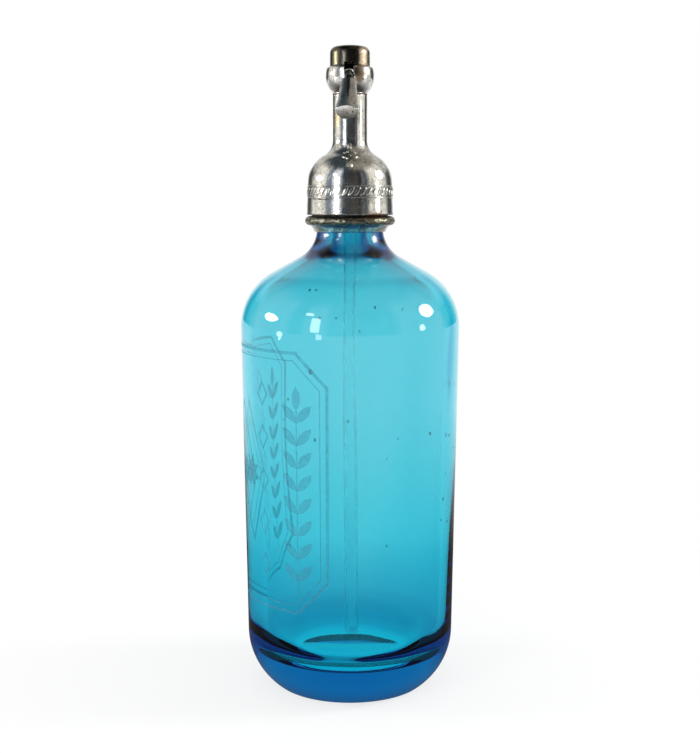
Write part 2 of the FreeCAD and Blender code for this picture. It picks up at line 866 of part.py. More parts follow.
def make_cap():
    """The domed cap, screwed over the neck, with a notch over the lever."""
    body = new_body("cap", ball_foot + cap_foot)
    outer = cap_bore + size("cap_wall")
    seat = gasket_seat - cap_foot
    roof = pocket_roof - cap_foot
    turn = size("cap_edge_turn")
    edge = size("cap_edge_radius")
    dome_foot = outer - edge * (1 - cosine(turn))
    dome_bend = dome_foot / cosine(turn)
    top = roof + size("cap_roof")
    dome_level = top - dome_bend * (1 - sine(turn))
    corners = [
        (cap_bore, 0),
        (outer, 0),
        (outer, dome_level - edge * sine(turn), "convex", edge),
        (dome_foot, dome_level, "convex", dome_bend),
        (0, top),
        (0, roof),
        (size("cap_pocket_radius"), roof),
        (size("cap_pocket_radius"), seat),
        (cap_bore, seat),
    ]
    turned(body, "cap_blank", corners)
    notch = size("notch_height")
    inside = -size("head_bore")
    outside = -(outer + size("cap_wall"))
    corners = [(outside, -notch), (inside, -notch), (inside, notch), (outside, notch)]
    side = outline(new_sketch(body, "notch_side", "YZ_Plane"), corners)
    slab(body, "lever_notch", side, slot_width, "PartDesign::Pocket")
    return body


# ---------------------------------------------------------------- lever


def lever_point(along, above):
    """A place in the lever's side view, by its distance down the paddle and above it."""
    lean = size("lever_slope")
    return (
        -(along * cosine(lean) + above * sine(lean)),
        above * cosine(lean) - along * sine(lean),
    )


def paddle_section(body, name, along, width, belly, crown):
    """A section across the paddle: low crown with soft edges on top, short straight sides,
    round belly."""
    sketch = new_sketch(body, name, "XY_Plane")
    place = lever_point(along, 0)
    tilt = 90 + size("lever_slope")
    sketch.AttachmentOffset = FreeCAD.Placement(
        FreeCAD.Vector(), FreeCAD.Rotation(FreeCAD.Vector(1, 0, 0), number_of(tilt))
    )
    sketch.setExpression("AttachmentOffset.Base.y", cells_of(place[0]))
    sketch.setExpression("AttachmentOffset.Base.z", cells_of(place[1]))
    sketch.setExpression("AttachmentOffset.Rotation.Angle", cells_of(tilt))
    half = width / 2
    face = size("paddle_face")
    side = face - size("paddle_side")
    edge = size("paddle_edge_round")
    flat = half - edge
    crown_bend = (flat * flat + crown * crown) / (2 * crown)
    belly_bend = (half * half + belly * belly) / (2 * belly)
    corners = [
        (-half, side, "convex", belly_bend),
        (half, side),
        (half, face - edge, "convex", edge),
        (flat, face, "convex", crown_bend),
        (-flat, face, "convex", edge),
        (-half, face - edge),
    ]
    return outline(sketch, corners)


LEVER_LOFTS = {
    "neck": ("root", "neck"),
    "shoulders": ("neck", "shoulder"),
    "paddle": ("shoulder", "waist", "end"),
}


def make_lever():
    """The thumb lever: a tongue in the plunger's window, an eye on the pin and a paddle
    that swells from a narrow neck to a broad cut end."""
    body = new_body("lever", ball_foot + pin_level, -size("pin_reach"))
    sections = {}
    for place in ("root", "neck", "shoulder", "waist", "end"):
        narrow = place in ("root", "neck")
        width = size("eye_width") if narrow else size(f"paddle_{place}_width")
        belly = size("paddle_neck_belly" if narrow else f"paddle_{place}_belly")
        crown = size("paddle_neck_crown" if narrow else "paddle_crown")
        sections[place] = (size(f"paddle_{place}_at"), width, belly, crown)
    for name, places in LEVER_LOFTS.items():
        drawn = [paddle_section(body, f"{name}_{place}", *sections[place]) for place in places]
        loft = body.newObject("PartDesign::AdditiveLoft", name)
        loft.Profile = drawn[0]
        loft.Sections = drawn[1:]
    end = FreeCAD.Vector(0, *map(number_of, lever_point(size("paddle_end_at"), 0)))
    down_paddle = FreeCAD.Vector(0, *map(number_of, lever_point(1, 0)))

    def at_end(edge):
        point = middle_of(edge)
        past = (point - end) * down_paddle
        return abs(past) < SAME_PLACE

    rounded(body, "end_rounding", size("paddle_end_round"), at_end)
    side = circle_at(new_sketch(body, "eye_side", "YZ_Plane"), "eye", 0, 0, size("eye_radius"))
    slab(body, "eye", side, size("eye_width"))
    tongue = size("tongue_radius")
    nose = (size("pin_reach"), window_top - size("tongue_clearance") - tongue - pin_level)
    corners = [
        (0, -size("arm_root")),
        (nose[0], nose[1] - tongue),
        (nose[0], nose[1] + tongue),
        (0, size("eye_radius")),
    ]
    side = outline(new_sketch(body, "arm_side", "YZ_Plane"), corners)
    slab(body, "arm", side, size("tongue_width"))
    side = circle_at(new_sketch(body, "nose_side", "YZ_Plane"), "nose", *nose, tongue)
    slab(body, "nose", side, size("tongue_width"))
    hole = size("pin_radius") + size("pin_clearance")
    side = circle_at(new_sketch(body, "hole_side", "YZ_Plane"), "hole", 0, 0, hole)
    slab(body, "pin_hole", side, 2 * size("eye_width"), "PartDesign::Pocket")
    return body


# ---------------------------------------------------------------- the whole siphon

gland_bore = size("rod_radius") + size("rod_clearance")
gland_outer = size("head_bore") - size("gland_fit")
pieces = [
    make_bottle(),
    make_dip_tube(),
    ring("lip_ring", collar_top, collar_bore, lip_radius, size("lip_ring_thickness")),
    make_collar_half("collar_half_right", size("split_azimuth")),
    make_collar_half("collar_half_left", size("split_azimuth") + 180),
    ring(
        "mouth_gasket",
        lip_top,
        size("seat_shank_radius") + size("gasket_clearance"),
        lip_radius,
        size("mouth_gasket_thickness"),
    ),
    make_tube_seat(),
    ring(
        "tube_ring",
        seat_flange_top,
        size("tube_radius"),
        size("tube_radius") + size("tube_ring_wall"),
        size("tube_ring_thickness"),
    ),
    make_bell(),
    ring(
        "stem_washer",
        bell_rim + stem_top,
        size("nipple_radius") + size("nipple_clearance"),
        size("stem_radius"),
        size("stem_washer_thickness"),
    ),
    make_valve_body(),
    make_valve_seat(),
    ring(
        "valve_washer",
        ball_foot + washer_foot,
        size("screw_shank_radius"),
        size("washer_radius"),
        size("washer_thickness"),
    ),
    make_washer_screw(),
    make_valve_cup(),
    make_plunger(),
    ring("gland_seal", ball_foot + ledge, gland_bore, gland_outer, size("gland_seal_thickness")),
    ring(
        "gland_ring",
        ball_foot + ledge + size("gland_seal_thickness"),
        gland_bore,
        gland_outer,
        size("gland_ring_thickness"),
    ),
    make_return_spring(),
    ring(
        "cap_gasket",
        ball_foot + neck_top,
        head_neck_radius - size("cap_gasket_wall"),
        head_neck_radius,
        size("cap_gasket_thickness"),
    ),
    make_cap(),
    make_lever(),
    make_lever_pin(),
]

doc.recompute()
for item in doc.Objects:
    if "Invalid" in item.State or "Error" in item.State:
        raise RuntimeError(f"{item.Label} failed: {item.State}")
for piece in pieces:
    if piece.Shape.isNull() or not piece.Shape.isValid():
        raise RuntimeError(f"{piece.Label} has no valid shape")
os.makedirs("parts", exist_ok=True)
for piece in pieces:
    piece.Shape.exportStep(f"parts/{piece.Label}.step")
    print(f"{piece.Label}: {len(piece.Shape.Solids)} solid, {piece.Shape.Volume:.1f} mm3")
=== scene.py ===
import math
import random

import bmesh
import bpy
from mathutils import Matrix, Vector


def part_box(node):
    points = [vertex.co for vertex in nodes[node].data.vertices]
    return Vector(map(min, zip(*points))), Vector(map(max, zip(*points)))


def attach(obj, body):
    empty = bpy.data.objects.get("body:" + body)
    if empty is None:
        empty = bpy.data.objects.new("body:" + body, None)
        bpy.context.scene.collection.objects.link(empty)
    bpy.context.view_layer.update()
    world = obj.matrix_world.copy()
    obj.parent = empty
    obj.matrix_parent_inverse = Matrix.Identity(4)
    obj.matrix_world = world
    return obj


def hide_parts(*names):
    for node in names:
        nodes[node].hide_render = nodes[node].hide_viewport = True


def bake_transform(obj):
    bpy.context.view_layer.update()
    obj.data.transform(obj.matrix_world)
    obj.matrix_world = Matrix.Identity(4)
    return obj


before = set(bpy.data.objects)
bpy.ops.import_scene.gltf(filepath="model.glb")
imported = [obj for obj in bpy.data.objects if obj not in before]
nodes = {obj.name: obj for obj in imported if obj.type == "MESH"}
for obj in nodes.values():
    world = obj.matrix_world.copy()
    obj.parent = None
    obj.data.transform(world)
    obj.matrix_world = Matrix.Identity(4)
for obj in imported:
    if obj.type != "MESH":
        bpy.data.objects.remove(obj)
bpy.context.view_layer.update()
MM = 0.001

# ---------------------------------------------------------------- glass bottle
# Soda-lime glass coloured turquoise all through, blown in a mould with a heavy foot.
# The wall is thick at the neck and the heel, where the colour deepens to navy, and small
# bubbles were caught in it. The navy at the neck's sides and the neck's grey are painted shade.

# The outside, from the foot up. A bend is given by its radius and how far it turns.
FOOT, RECESS, RECESS_DEPTH = 36.6, 27.0, 2.4
HEEL, HEEL_TURN = 33.0, math.radians(53)
BODY, BODY_TOP = 51.95, 173.3
SHOULDER, SLOPE = 29.5, math.radians(61.4)
THROAT, NECK, NECK_LENGTH = 15.6, 15.6, 14.1
LIP_OVERHANG, LIP_HEIGHT, LIP_ROUND = 1.8, 6.0, 1.4
# The glass inside it: how thick it stands, the bends of the hollow, and the floor.
WALL, LOW_WALL, NECK_GLASS, INNER_THROAT = 4.9, 7.6, 7.5, 11.0
FLOOR, INNER_HEEL, THICKER_BELOW, FIRST_GAIN = 15.5, 18.0, 112.0, 0.3
RIPPLE, INNER_RIPPLE, EVEN_WITHIN, RIPPLE_GROWS = 0.14, 0.16, 12, 25
EASING = 6  # rounds of softening that take the corners off the hollow
GLASS_STEPS = 224


def colour(code):
    """An sRGB hex code as linear red, green, blue and alpha."""
    channels = [int(code[at : at + 2], 16) / 255 for at in (0, 2, 4)]
    linear = [c / 12.92 if c <= 0.04045 else ((c + 0.055) / 1.055) ** 2.4 for c in channels]
    return (*linear, 1.0)


def add(tree, kind, inputs=None, **settings):
    """Add a node with its settings. An input takes a plain value, a node or a node's output."""
    node = tree.nodes.new("ShaderNode" + kind)
    for name, value in settings.items():
        setattr(node, name, value)
    for key, value in (inputs or {}).items():
        named = [socket for socket in node.inputs if socket.name == key and socket.enabled]
        socket = named[0] if named else node.inputs[key]
        if isinstance(value, bpy.types.Node):
            value = next(output for output in value.outputs if output.enabled)
        if isinstance(value, bpy.types.NodeSocket):
            tree.links.new(value, socket)
        else:
            socket.default_value = value
    return node


def new_material(name):
    """An empty material and its node tree."""
    material = bpy.data.materials.new(name)
    material.use_nodes = True
    material.node_tree.nodes.clear()
    return material, material.node_tree


def arc(centre, radius, start, end, steps):
    """Points (radius, height) on an arc, its angles counted from straight outwards."""
    angles = [start + (end - start) * step / steps for step in range(steps + 1)]
    return [(centre[0] + radius * math.cos(a), centre[1] + radius * math.sin(a)) for a in angles]


def run(start, end, steps):
    """Points spread evenly between two places, without the first."""
    shares = [step / steps for step in range(1, steps + 1)]
    return [tuple(a + (b - a) * share for a, b in zip(start, end)) for share in shares]


def round_axis(angle, reach, height):
    """A place in metres, from its angle, reach and height in millimetres."""
    return [c * MM for c in (reach * math.cos(angle), reach * math.sin(angle), height)]


def turned(mesh, profile, steps, ripples=None):
    """Turn a profile of (radius, height) round the axis. Its ends are joined or on the axis."""
    rings = []
    for index, (radius, height) in enumerate(profile):
        ripple = ripples[index] if ripples else None
        if radius < 1e-6:
            rings.append([mesh.verts.new((0, 0, height * MM))])
            continue
        ring = []
        for step in range(steps):
            angle = 2 * math.pi * step / steps
            reach = radius - (ripple(angle, radius, height) if ripple else 0)
            ring.append(mesh.verts.new(round_axis(angle, reach, height)))
        rings.append(ring)
    closed = len(rings[0]) > 1
    for lower, upper in zip(rings, rings[1:] + rings[:1] if closed else rings[1:]):
        for step in range(steps):
            after = (step + 1) % steps
            corners = [lower[step % len(lower)], lower[after % len(lower)]]
            corners += [upper[after % len(upper)], upper[step % len(upper)]]
            mesh.faces.new(list(dict.fromkeys(corners)))
    bmesh.ops.recalc_face_normals(mesh, faces=mesh.faces)


def as_piece(name, mesh, material):
    """Turn a finished mesh into a smooth-shaded piece of this material."""
    data = bpy.data.meshes.new(name)
    mesh.to_mesh(data)
    mesh.free()
    data.shade_smooth()
    data.materials.append(material)
    piece = bpy.data.objects.new(name, data)
    bpy.context.scene.collection.objects.link(piece)
    return piece


def glass_ripple(angle, radius, height):
    """Blown glass is never quite even: a slow wave round it and up it, never outwards."""
    wave = math.sin(3 * angle + height / 31) + math.sin(5 * angle - height / 17 + 1.3)
    return RIPPLE * (2 + wave) / 4 * min(1, radius / BODY) ** 2


heel_height = HEEL * math.sin(HEEL_TURN)
wall_foot = FOOT + HEEL * (1 - math.cos(HEEL_TURN))
shoulder_end = (BODY - SHOULDER * (1 - math.cos(SLOPE)), BODY_TOP + SHOULDER * math.sin(SLOPE))


def outside():
    """The bottle's outline from the middle of its foot to the foot of its lip."""
    bend = (RECESS**2 + RECESS_DEPTH**2) / (2 * RECESS_DEPTH)
    turn = math.asin(RECESS / bend)
    line = [(0, RECESS_DEPTH)]
    for step in range(1, 17):
        t = turn * step / 16
        line.append((bend * math.sin(t), RECESS_DEPTH - bend * (1 - math.cos(t))))
    line += run(line[-1], (FOOT, 0), 4)
    line += arc((wall_foot - HEEL, heel_height), HEEL, -HEEL_TURN, 0, 28)[1:]
    line += run((wall_foot, heel_height), (BODY, BODY_TOP), 48)
    line += arc((BODY - SHOULDER, BODY_TOP), SHOULDER, 0, SLOPE, 32)[1:]
    throat_start = NECK + THROAT * (1 - math.cos(SLOPE))
    rise = (shoulder_end[0] - throat_start) / math.tan(SLOPE)
    neck_base = shoulder_end[1] + rise + THROAT * math.sin(SLOPE)
    line += run(shoulder_end, (throat_start, shoulder_end[1] + rise), 8)
    line += arc((NECK + THROAT, neck_base), THROAT, math.pi + SLOPE, math.pi, 20)[1:]
    return line + run((NECK, neck_base), (NECK, neck_base + NECK_LENGTH), 10)


def inner_ripple(angle, radius, height):
    """The hollow's wall wanders more than the outside, which the mould has held."""
    if radius < EVEN_WITHIN:
        return 0
    wave = math.sin(2 * angle + height / 43 + 0.7) + math.sin(7 * angle + height / 60)
    wave += 0.6 * math.sin(11 * angle - height / 37 + 2.1)
    return INNER_RIPPLE * wave * min(1, (radius - EVEN_WITHIN) / RIPPLE_GROWS)


def wall_radius(height):
    """The outside radius of the bottle's straight wall."""
    return wall_foot + (BODY - wall_foot) * (height - heel_height) / (BODY_TOP - heel_height)


def inside():
    """The hollow's outline from the mouth to the middle of the floor."""
    bore = NECK - NECK_GLASS
    level = shoulder_end[0] * math.cos(SLOPE) + shoulder_end[1] * math.sin(SLOPE)
    level += INNER_THROAT - WALL
    start = (level - (bore + INNER_THROAT) * math.cos(SLOPE)) / math.sin(SLOPE)
    line = arc((bore + INNER_THROAT, start), INNER_THROAT, math.pi, math.pi + SLOPE, 20)
    shoulder = arc((BODY - SHOULDER, BODY_TOP), SHOULDER - WALL, SLOPE, 0, 28)
    heel = (wall_foot - LOW_WALL - INNER_HEEL, FLOOR + INNER_HEEL)
    line += run(line[-1], shoulder[0], 8) + shoulder[1:]
    thicker = (wall_radius(THICKER_BELOW) - WALL - FIRST_GAIN, THICKER_BELOW)
    line += run(shoulder[-1], thicker, 20)
    line += run(line[-1], (heel[0] + INNER_HEEL, heel[1]), 24)
    line += arc(heel, INNER_HEEL, 0, -math.pi / 2, 28)[1:]
    line += run(line[-1], (0, FLOOR), 12)
    for _ in range(EASING):
        threes = zip(line, line[1:], line[2:])
        eased = [tuple((a + 2 * b + c) / 4 for a, b, c in zip(*three)) for three in threes]
        line = [line[0], *eased, line[-1]]
    return line


def glass_profile():
    """The whole outline, up the outside and down the hollow, and the ripple of each point."""
    line = outside()
    lip_foot = line[-1][1]
    lip_top = lip_foot + LIP_HEIGHT
    lip, mouth, edge = NECK + LIP_OVERHANG, NECK - NECK_GLASS, LIP_ROUND
    rim = arc((lip - edge, lip_foot + edge), edge, -math.pi / 2, 0, 6)
    rim += arc((lip - edge, lip_top - edge), edge, 0, math.pi / 2, 6)
    rim += arc((mouth + edge, lip_top - edge), edge, math.pi / 2, math.pi, 6)
    hollow = inside()
    rim += run((mouth, lip_top - edge), hollow[0], 10)[:-1]
    waves = [glass_ripple] * len(line) + [None] * len(rim) + [inner_ripple] * len(hollow)
    return line + rim + hollow, waves


# Bubbles in the glass: turn, height, how far into the wall, radius.
SEEDS = [
    (-22.6, 192.9, 2.0, 0.55), (-18.6, 192.9, 2.4, 0.45), (-13.1, 181.7, 1.6, 0.5),
    (-4.7, 181.8, 2.2, 0.35), (15.9, 186.2, 1.8, 0.5), (31.7, 184.9, 2.5, 0.4),
    (-17.7, 158.1, 1.5, 0.9), (-31.0, 144.8, 2.0, 0.45), (1.5, 136.1, 2.2, 0.5),
    (49.0, 127.8, 1.8, 0.6), (-15.8, 127.3, 2.0, 0.6),
]
SEEDS_BEHIND, DRAWN_OUT = 26, 1.35  # how many are strewn behind, and how tall each is drawn
random.seed(12)
for _ in range(SEEDS_BEHIND):
    turn, height = random.uniform(60, 300), random.uniform(50, 170)
    SEEDS.append((turn, height, random.uniform(1.4, 3.2), random.uniform(0.25, 0.6)))


def add_seeds(mesh):
    """Each bubble is a hollow in the glass, drawn out a little upwards."""
    for turn, height, depth, size in SEEDS:
        reach = wall_radius(height) - depth
        if height > BODY_TOP:
            reach = BODY - SHOULDER + math.sqrt((SHOULDER - depth) ** 2 - (height - BODY_TOP) ** 2)
        turn = math.radians(turn)
        place = Vector((reach * math.sin(turn), -reach * math.cos(turn), height))
        made = bmesh.ops.create_icosphere(mesh, subdivisions=2, radius=size)["verts"]
        for vert in made:
            vert.co.z *= DRAWN_OUT
            vert.co = (vert.co + place) * MM
        faces = {face for vert in made for face in vert.link_faces}
        bmesh.ops.reverse_faces(mesh, faces=list(faces))


def millimetres(tree):
    """The place on the piece, counted in millimetres from the middle of the foot."""
    place = add(tree, "TexCoord").outputs["Object"]
    return add(tree, "VectorMath", {0: place, "Scale": 1000.0}, operation="SCALE")


# Soda-lime glass with copper in it, fire-polished by the blowing: clear and sharply glossy,
# light turquoise through the wall and deeper blue the more glass the light has crossed.
turquoise, tree = new_material("turquoise_glass")
PAINTED_NECK_SHADE, NECK_SIDES = (192.0, 216.0), (203.0, 210.0)  # heights over which each comes in
height = add(tree, "SeparateXYZ", {0: millimetres(tree)}).outputs["Z"]
# The neck's glass is painted grey, a painted shade that darkens it.
inputs = {"Value": height, 1: PAINTED_NECK_SHADE[0], 2: PAINTED_NECK_SHADE[1]}
painted_shade_on_neck = add(tree, "MapRange", inputs, interpolation_type="SMOOTHSTEP")
inputs = {"Factor": painted_shade_on_neck, "A": colour("ECEFF3"), "B": colour("C3CCD8")}
skin = add(tree, "Mix", inputs, data_type="RGBA")
# At the neck's sides the glass is painted navy, a painted shade for the dark room it bends into
# view, and made a little hazy.
inputs = {"Value": height, 1: NECK_SIDES[0], 2: NECK_SIDES[1]}
on_neck = add(tree, "MapRange", inputs, interpolation_type="SMOOTHSTEP")
edge = add(tree, "LayerWeight", {"Blend": 0.3}).outputs["Facing"]
inputs = {"Value": edge, 1: 0.04, 2: 0.24}
at_side = add(tree, "MapRange", inputs, interpolation_type="SMOOTHSTEP")
painted_navy_sides = add(tree, "Math", {0: on_neck, 1: at_side}, operation="MULTIPLY")
inputs = {"Factor": painted_navy_sides, "A": skin, "B": colour("2C4C8C")}
skin = add(tree, "Mix", inputs, data_type="RGBA")
haze = add(tree, "MapRange", {"Value": painted_navy_sides, 3: 0.0, 4: 0.2})
inputs = {"Base Color": skin, "Roughness": haze, "IOR": 1.52, "Transmission Weight": 1.0}
glass = add(tree, "BsdfPrincipled", inputs)
# Absorbed per metre: nearly all the red, a little green, hardly any blue.
body_colour = add(tree, "VolumeAbsorption", {"Color": colour("00F3FA"), "Density": 200.0})
add(tree, "OutputMaterial", {"Surface": glass, "Volume": body_colour})

mesh = bmesh.new()
profile, waves = glass_profile()
turned(mesh, profile, GLASS_STEPS, waves)
add_seeds(mesh)
bottle = as_piece("glass_bottle", mesh, turquoise)
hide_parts("bottle")
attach(bottle, "siphon")

# ---------------------------------------------------------------- etched ornament
# The bottle's side was frosted with acid through a stencil: an upright panel with clipped
# corners, a sprig up each side, rows of small lozenges, and a large one round a flower. The
# acid has only taken the polish off, so the marks are faint and matt.

PANEL_TURN, PANEL_HALF, PANEL_FOOT, PANEL_TOP, CLIP = -73.0, 58.0, 46.0, 166.0, 15.0
FRAME_LINE, FINE_LINE, LINE_GAP = 1.5, 0.6, 3.4
# The two sprigs, their leaves leaning this many radians to either side.
SPRIG_INSET, STEM_LINE, STEM_TAIL = 15.0, 0.7, 6.0
LEAF_STEP, LEAF_LENGTH, LEAF_WIDTH, LEAF_LEAN = 10.5, 11.0, 4.4, 0.75
# The two rows of small lozenges, and the large one's two outlines (inset, width) and flower.
ROW_OUT, ROW_COUNT, ROW_STEP, ROW_HALF, ROW_RISE, ROW_LINE = 22.0, 5, 20.0, 3.4, 5.2, 1.2
LARGE_HALF, LARGE_RISE, LARGE_LINES = 15.0, 34.0, ((0, 1.4), (4, 0.6))
PETALS, PETAL_LENGTH, PETAL_WIDTH = 8, 9.0, 3.6
FROST = 0.02  # the frosted skin stands this far off the glass
STEP = 1.8  # every mark is cut this fine, so that it bends with the wall


def sheet(mesh, rows, place, closed=False):
    """Faces between rows of points, each row as long as the next."""
    made = [[mesh.verts.new(place(*point)) for point in row] for row in rows]
    for lower, upper in zip(made, made[1:] + made[:1] if closed else made[1:]):
        for at in range(len(lower) - 1):
            mesh.faces.new([lower[at], lower[at + 1], upper[at + 1], upper[at]])


def on_glass(along, height):
    """A place on the panel, from millimetres across it and its height."""
    angle = math.radians(PANEL_TURN - 90) + along / BODY
    reach = wall_radius(height) - glass_ripple(angle, BODY, height) + FROST
    return round_axis(angle, reach, height)


def stroke(path, width, closed=False):
    """Rows across a line of even width, mitred where it turns."""
    points = []
    for start, end in zip(path, path[1:] + path[:1] if closed else path[1:]):
        points += [start, *run(start, end, math.ceil(math.dist(start, end) / STEP))[:-1]]
    if not closed:
        points.append(path[-1])
    rows = []
    for at, point in enumerate(points):
        before = points[at - 1] if at or closed else point
        after = points[(at + 1) % len(points)] if at + 1 < len(points) or closed else point
        into = (Vector(point) - Vector(before)).normalized()
        out = (Vector(after) - Vector(point)).normalized()
        way = (into + out).normalized()
        side = Vector((-way.y, way.x)) * width / 2 / max(0.5, way.dot(out or into))
        rows.append([tuple(Vector(point) - side), tuple(Vector(point) + side)])
    return rows


def leaf(foot, lean, length, width):
    """Rows across a pointed leaf that leans this many radians from upright."""
    along = Vector((math.sin(lean), math.cos(lean)))
    across = Vector((along.y, -along.x))
    rows = []
    for step in range(9):
        share = step / 8
        half = width / 2 * math.sin(math.pi * share) ** 0.8 + 0.01
        middle = Vector(foot) + along * length * share
        rows.append([tuple(middle + across * half * side) for side in (-1, 0, 1)])
    return rows


def clipped_frame(inset):
    """A frame round the panel with its corners cut off, this far inside the outer one."""
    half, foot, top = PANEL_HALF - inset, PANEL_FOOT + inset, PANEL_TOP - inset
    clip = CLIP - inset * (2 - math.sqrt(2))
    right = [(half - clip, foot), (half, foot + clip), (half, top - clip), (half - clip, top)]
    return right + [(-along, up) for along, up in reversed(right)]


def lozenge(centre, half, rise):
    """The corners of an upright lozenge."""
    across, up = centre
    return [(across, up - rise), (across + half, up), (across, up + rise), (across - half, up)]


mesh = bmesh.new()
sheet(mesh, stroke(clipped_frame(0), FRAME_LINE, True), on_glass, True)
sheet(mesh, stroke(clipped_frame(LINE_GAP), FINE_LINE, True), on_glass, True)
middle = (PANEL_FOOT + PANEL_TOP) / 2
for side in (-1, 1):
    stem = side * (PANEL_HALF - SPRIG_INSET)
    foot, top = PANEL_FOOT + CLIP, PANEL_TOP - CLIP - LEAF_LENGTH
    sheet(mesh, stroke([(stem, foot - STEM_TAIL), (stem, top)], STEM_LINE), on_glass)
    leaves = int((top - foot) / LEAF_STEP) + 1
    for number in range(leaves):
        level = foot + number * LEAF_STEP
        for lean in (-LEAF_LEAN, LEAF_LEAN):
            sheet(mesh, leaf((stem, level), lean, LEAF_LENGTH, LEAF_WIDTH), on_glass)
    sheet(mesh, leaf((stem, top), 0, LEAF_LENGTH, LEAF_WIDTH), on_glass)
    for number in range(ROW_COUNT):
        centre = (side * ROW_OUT, middle + (number - ROW_COUNT // 2) * ROW_STEP)
        shape = lozenge(centre, ROW_HALF, ROW_RISE)
        sheet(mesh, stroke(shape, ROW_LINE, True), on_glass, True)
for inset, width in LARGE_LINES:
    shape = lozenge((0, middle), LARGE_HALF - inset, LARGE_RISE - 2 * inset)
    sheet(mesh, stroke(shape, width, True), on_glass, True)
for number in range(PETALS):
    lean = (number + 0.5) * 2 * math.pi / PETALS
    sheet(mesh, leaf((0, middle), lean, PETAL_LENGTH, PETAL_WIDTH), on_glass)

# Acid-etched glass: a matt, half see-through veil, a shade darker than the glass round it.
etched, tree = new_material("acid_etched_glass")
place = add(tree, "TexCoord").outputs["Object"]
# Patches of 2 mm where the acid bit less.
bite = add(tree, "TexNoise", {"Vector": place, "Scale": 500.0, "Detail": 4.0})
cover = add(tree, "MapRange", {"Value": bite, 1: 0.3, 2: 0.65, 3: 0.3, 4: 0.52})
inputs = {"Base Color": colour("2C7F96"), "Roughness": 0.6, "IOR": 1.52, "Alpha": cover}
add(tree, "OutputMaterial", {"Surface": add(tree, "BsdfPrincipled", inputs)})
ornament = as_piece("etched_ornament", mesh, etched)
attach(ornament, "siphon")

# ---------------------------------------------------------------- dip tube, its seat and ring
# A clear drawn glass tube, a little hazy, carries the soda from the floor up to the valve.
# It hangs in a moulded bush, gripped by a rubber ring.

MOTTLE = 1.1  # millimetres from one patch of a moulded stuff to the next


def finish_node(node, material):
    """Give one of the solids its finish."""
    nodes[node].data.materials.clear()
    nodes[node].data.materials.append(material)


def moulded(name, light, dark, rough):
    """A moulded stuff: even and matt, mottled in patches of about a millimetre."""
    material, tree = new_material(name)
    inputs = {"Vector": millimetres(tree), "Scale": 1 / MOTTLE, "Detail": 4.0}
    grain = add(tree, "TexNoise", inputs)
    inputs = {"Factor": grain, "A": colour(light), "B": colour(dark)}
    tint = add(tree, "Mix", inputs, data_type="RGBA")
    relief = add(tree, "Bump", {"Height": grain, "Strength": 0.4, "Distance": 0.1 * MM})
    inputs = {"Base Color": tint, "Roughness": rough, "Normal": relief}
    add(tree, "OutputMaterial", {"Surface": add(tree, "BsdfPrincipled", inputs)})
    return material


# Drawn borosilicate glass: colourless, so that only its two edges show, as faint lines.
tube_glass, tree = new_material("clear_tube_glass")
# Haze in patches of about 3 mm.
haze = add(tree, "TexNoise", {"Vector": millimetres(tree), "Scale": 0.3, "Detail": 2.0})
rough = add(tree, "MapRange", {"Value": haze, 1: 0.3, 2: 0.7, 3: 0.01, 4: 0.06})
inputs = {"Base Color": colour("F8FDFD"), "Roughness": rough, "IOR": 1.47}
inputs |= {"Transmission Weight": 1.0, "Alpha": 0.55}
add(tree, "OutputMaterial", {"Surface": add(tree, "BsdfPrincipled", inputs)})
finish_node("dip_tube", tube_glass)
# A cream bush, faintly glossy, and a dull dark grey rubber.
finish_node("tube_seat", moulded("moulded_bush", "C9C4B2", "A8A28E", 0.5))
rubber = moulded("grey_rubber", "4A4744", "2F2C2A", 0.7)
finish_node("tube_ring", rubber)

# ---------------------------------------------------------------- split collar
# Two cast brass halves clasped round the neck under the lip, packed with a rubber ring.
# The skirt is still smooth and mirrors the shoulder. The rolled bead is rough and has caught
# most of the wear; it is olive with old grease, and painted darker still as a painted dark
# reflection.

RAGGED = 2.0  # how far a patch's edge wanders
EVERYWHERE = 1e5  # the reach of a patch that goes all the way round
EDGE_WEAR, PIT_DEPTH = 0.25, 0.03
# How many to the millimetre: clouds 4.2 mm across, wandering edges 1.25 mm, dimples 2.4 mm.
CLOUDS, WANDERS, DIMPLES = 0.24, 0.8, 0.42
# Pits half a millimetre wide in cells of 2.2 mm, and specks half as wide in cells of 0.9 mm:
# how many cells to the millimetre, and a pit's share of its cell.
PITS = ((0.45, 0.22), (1.1, 0.26))


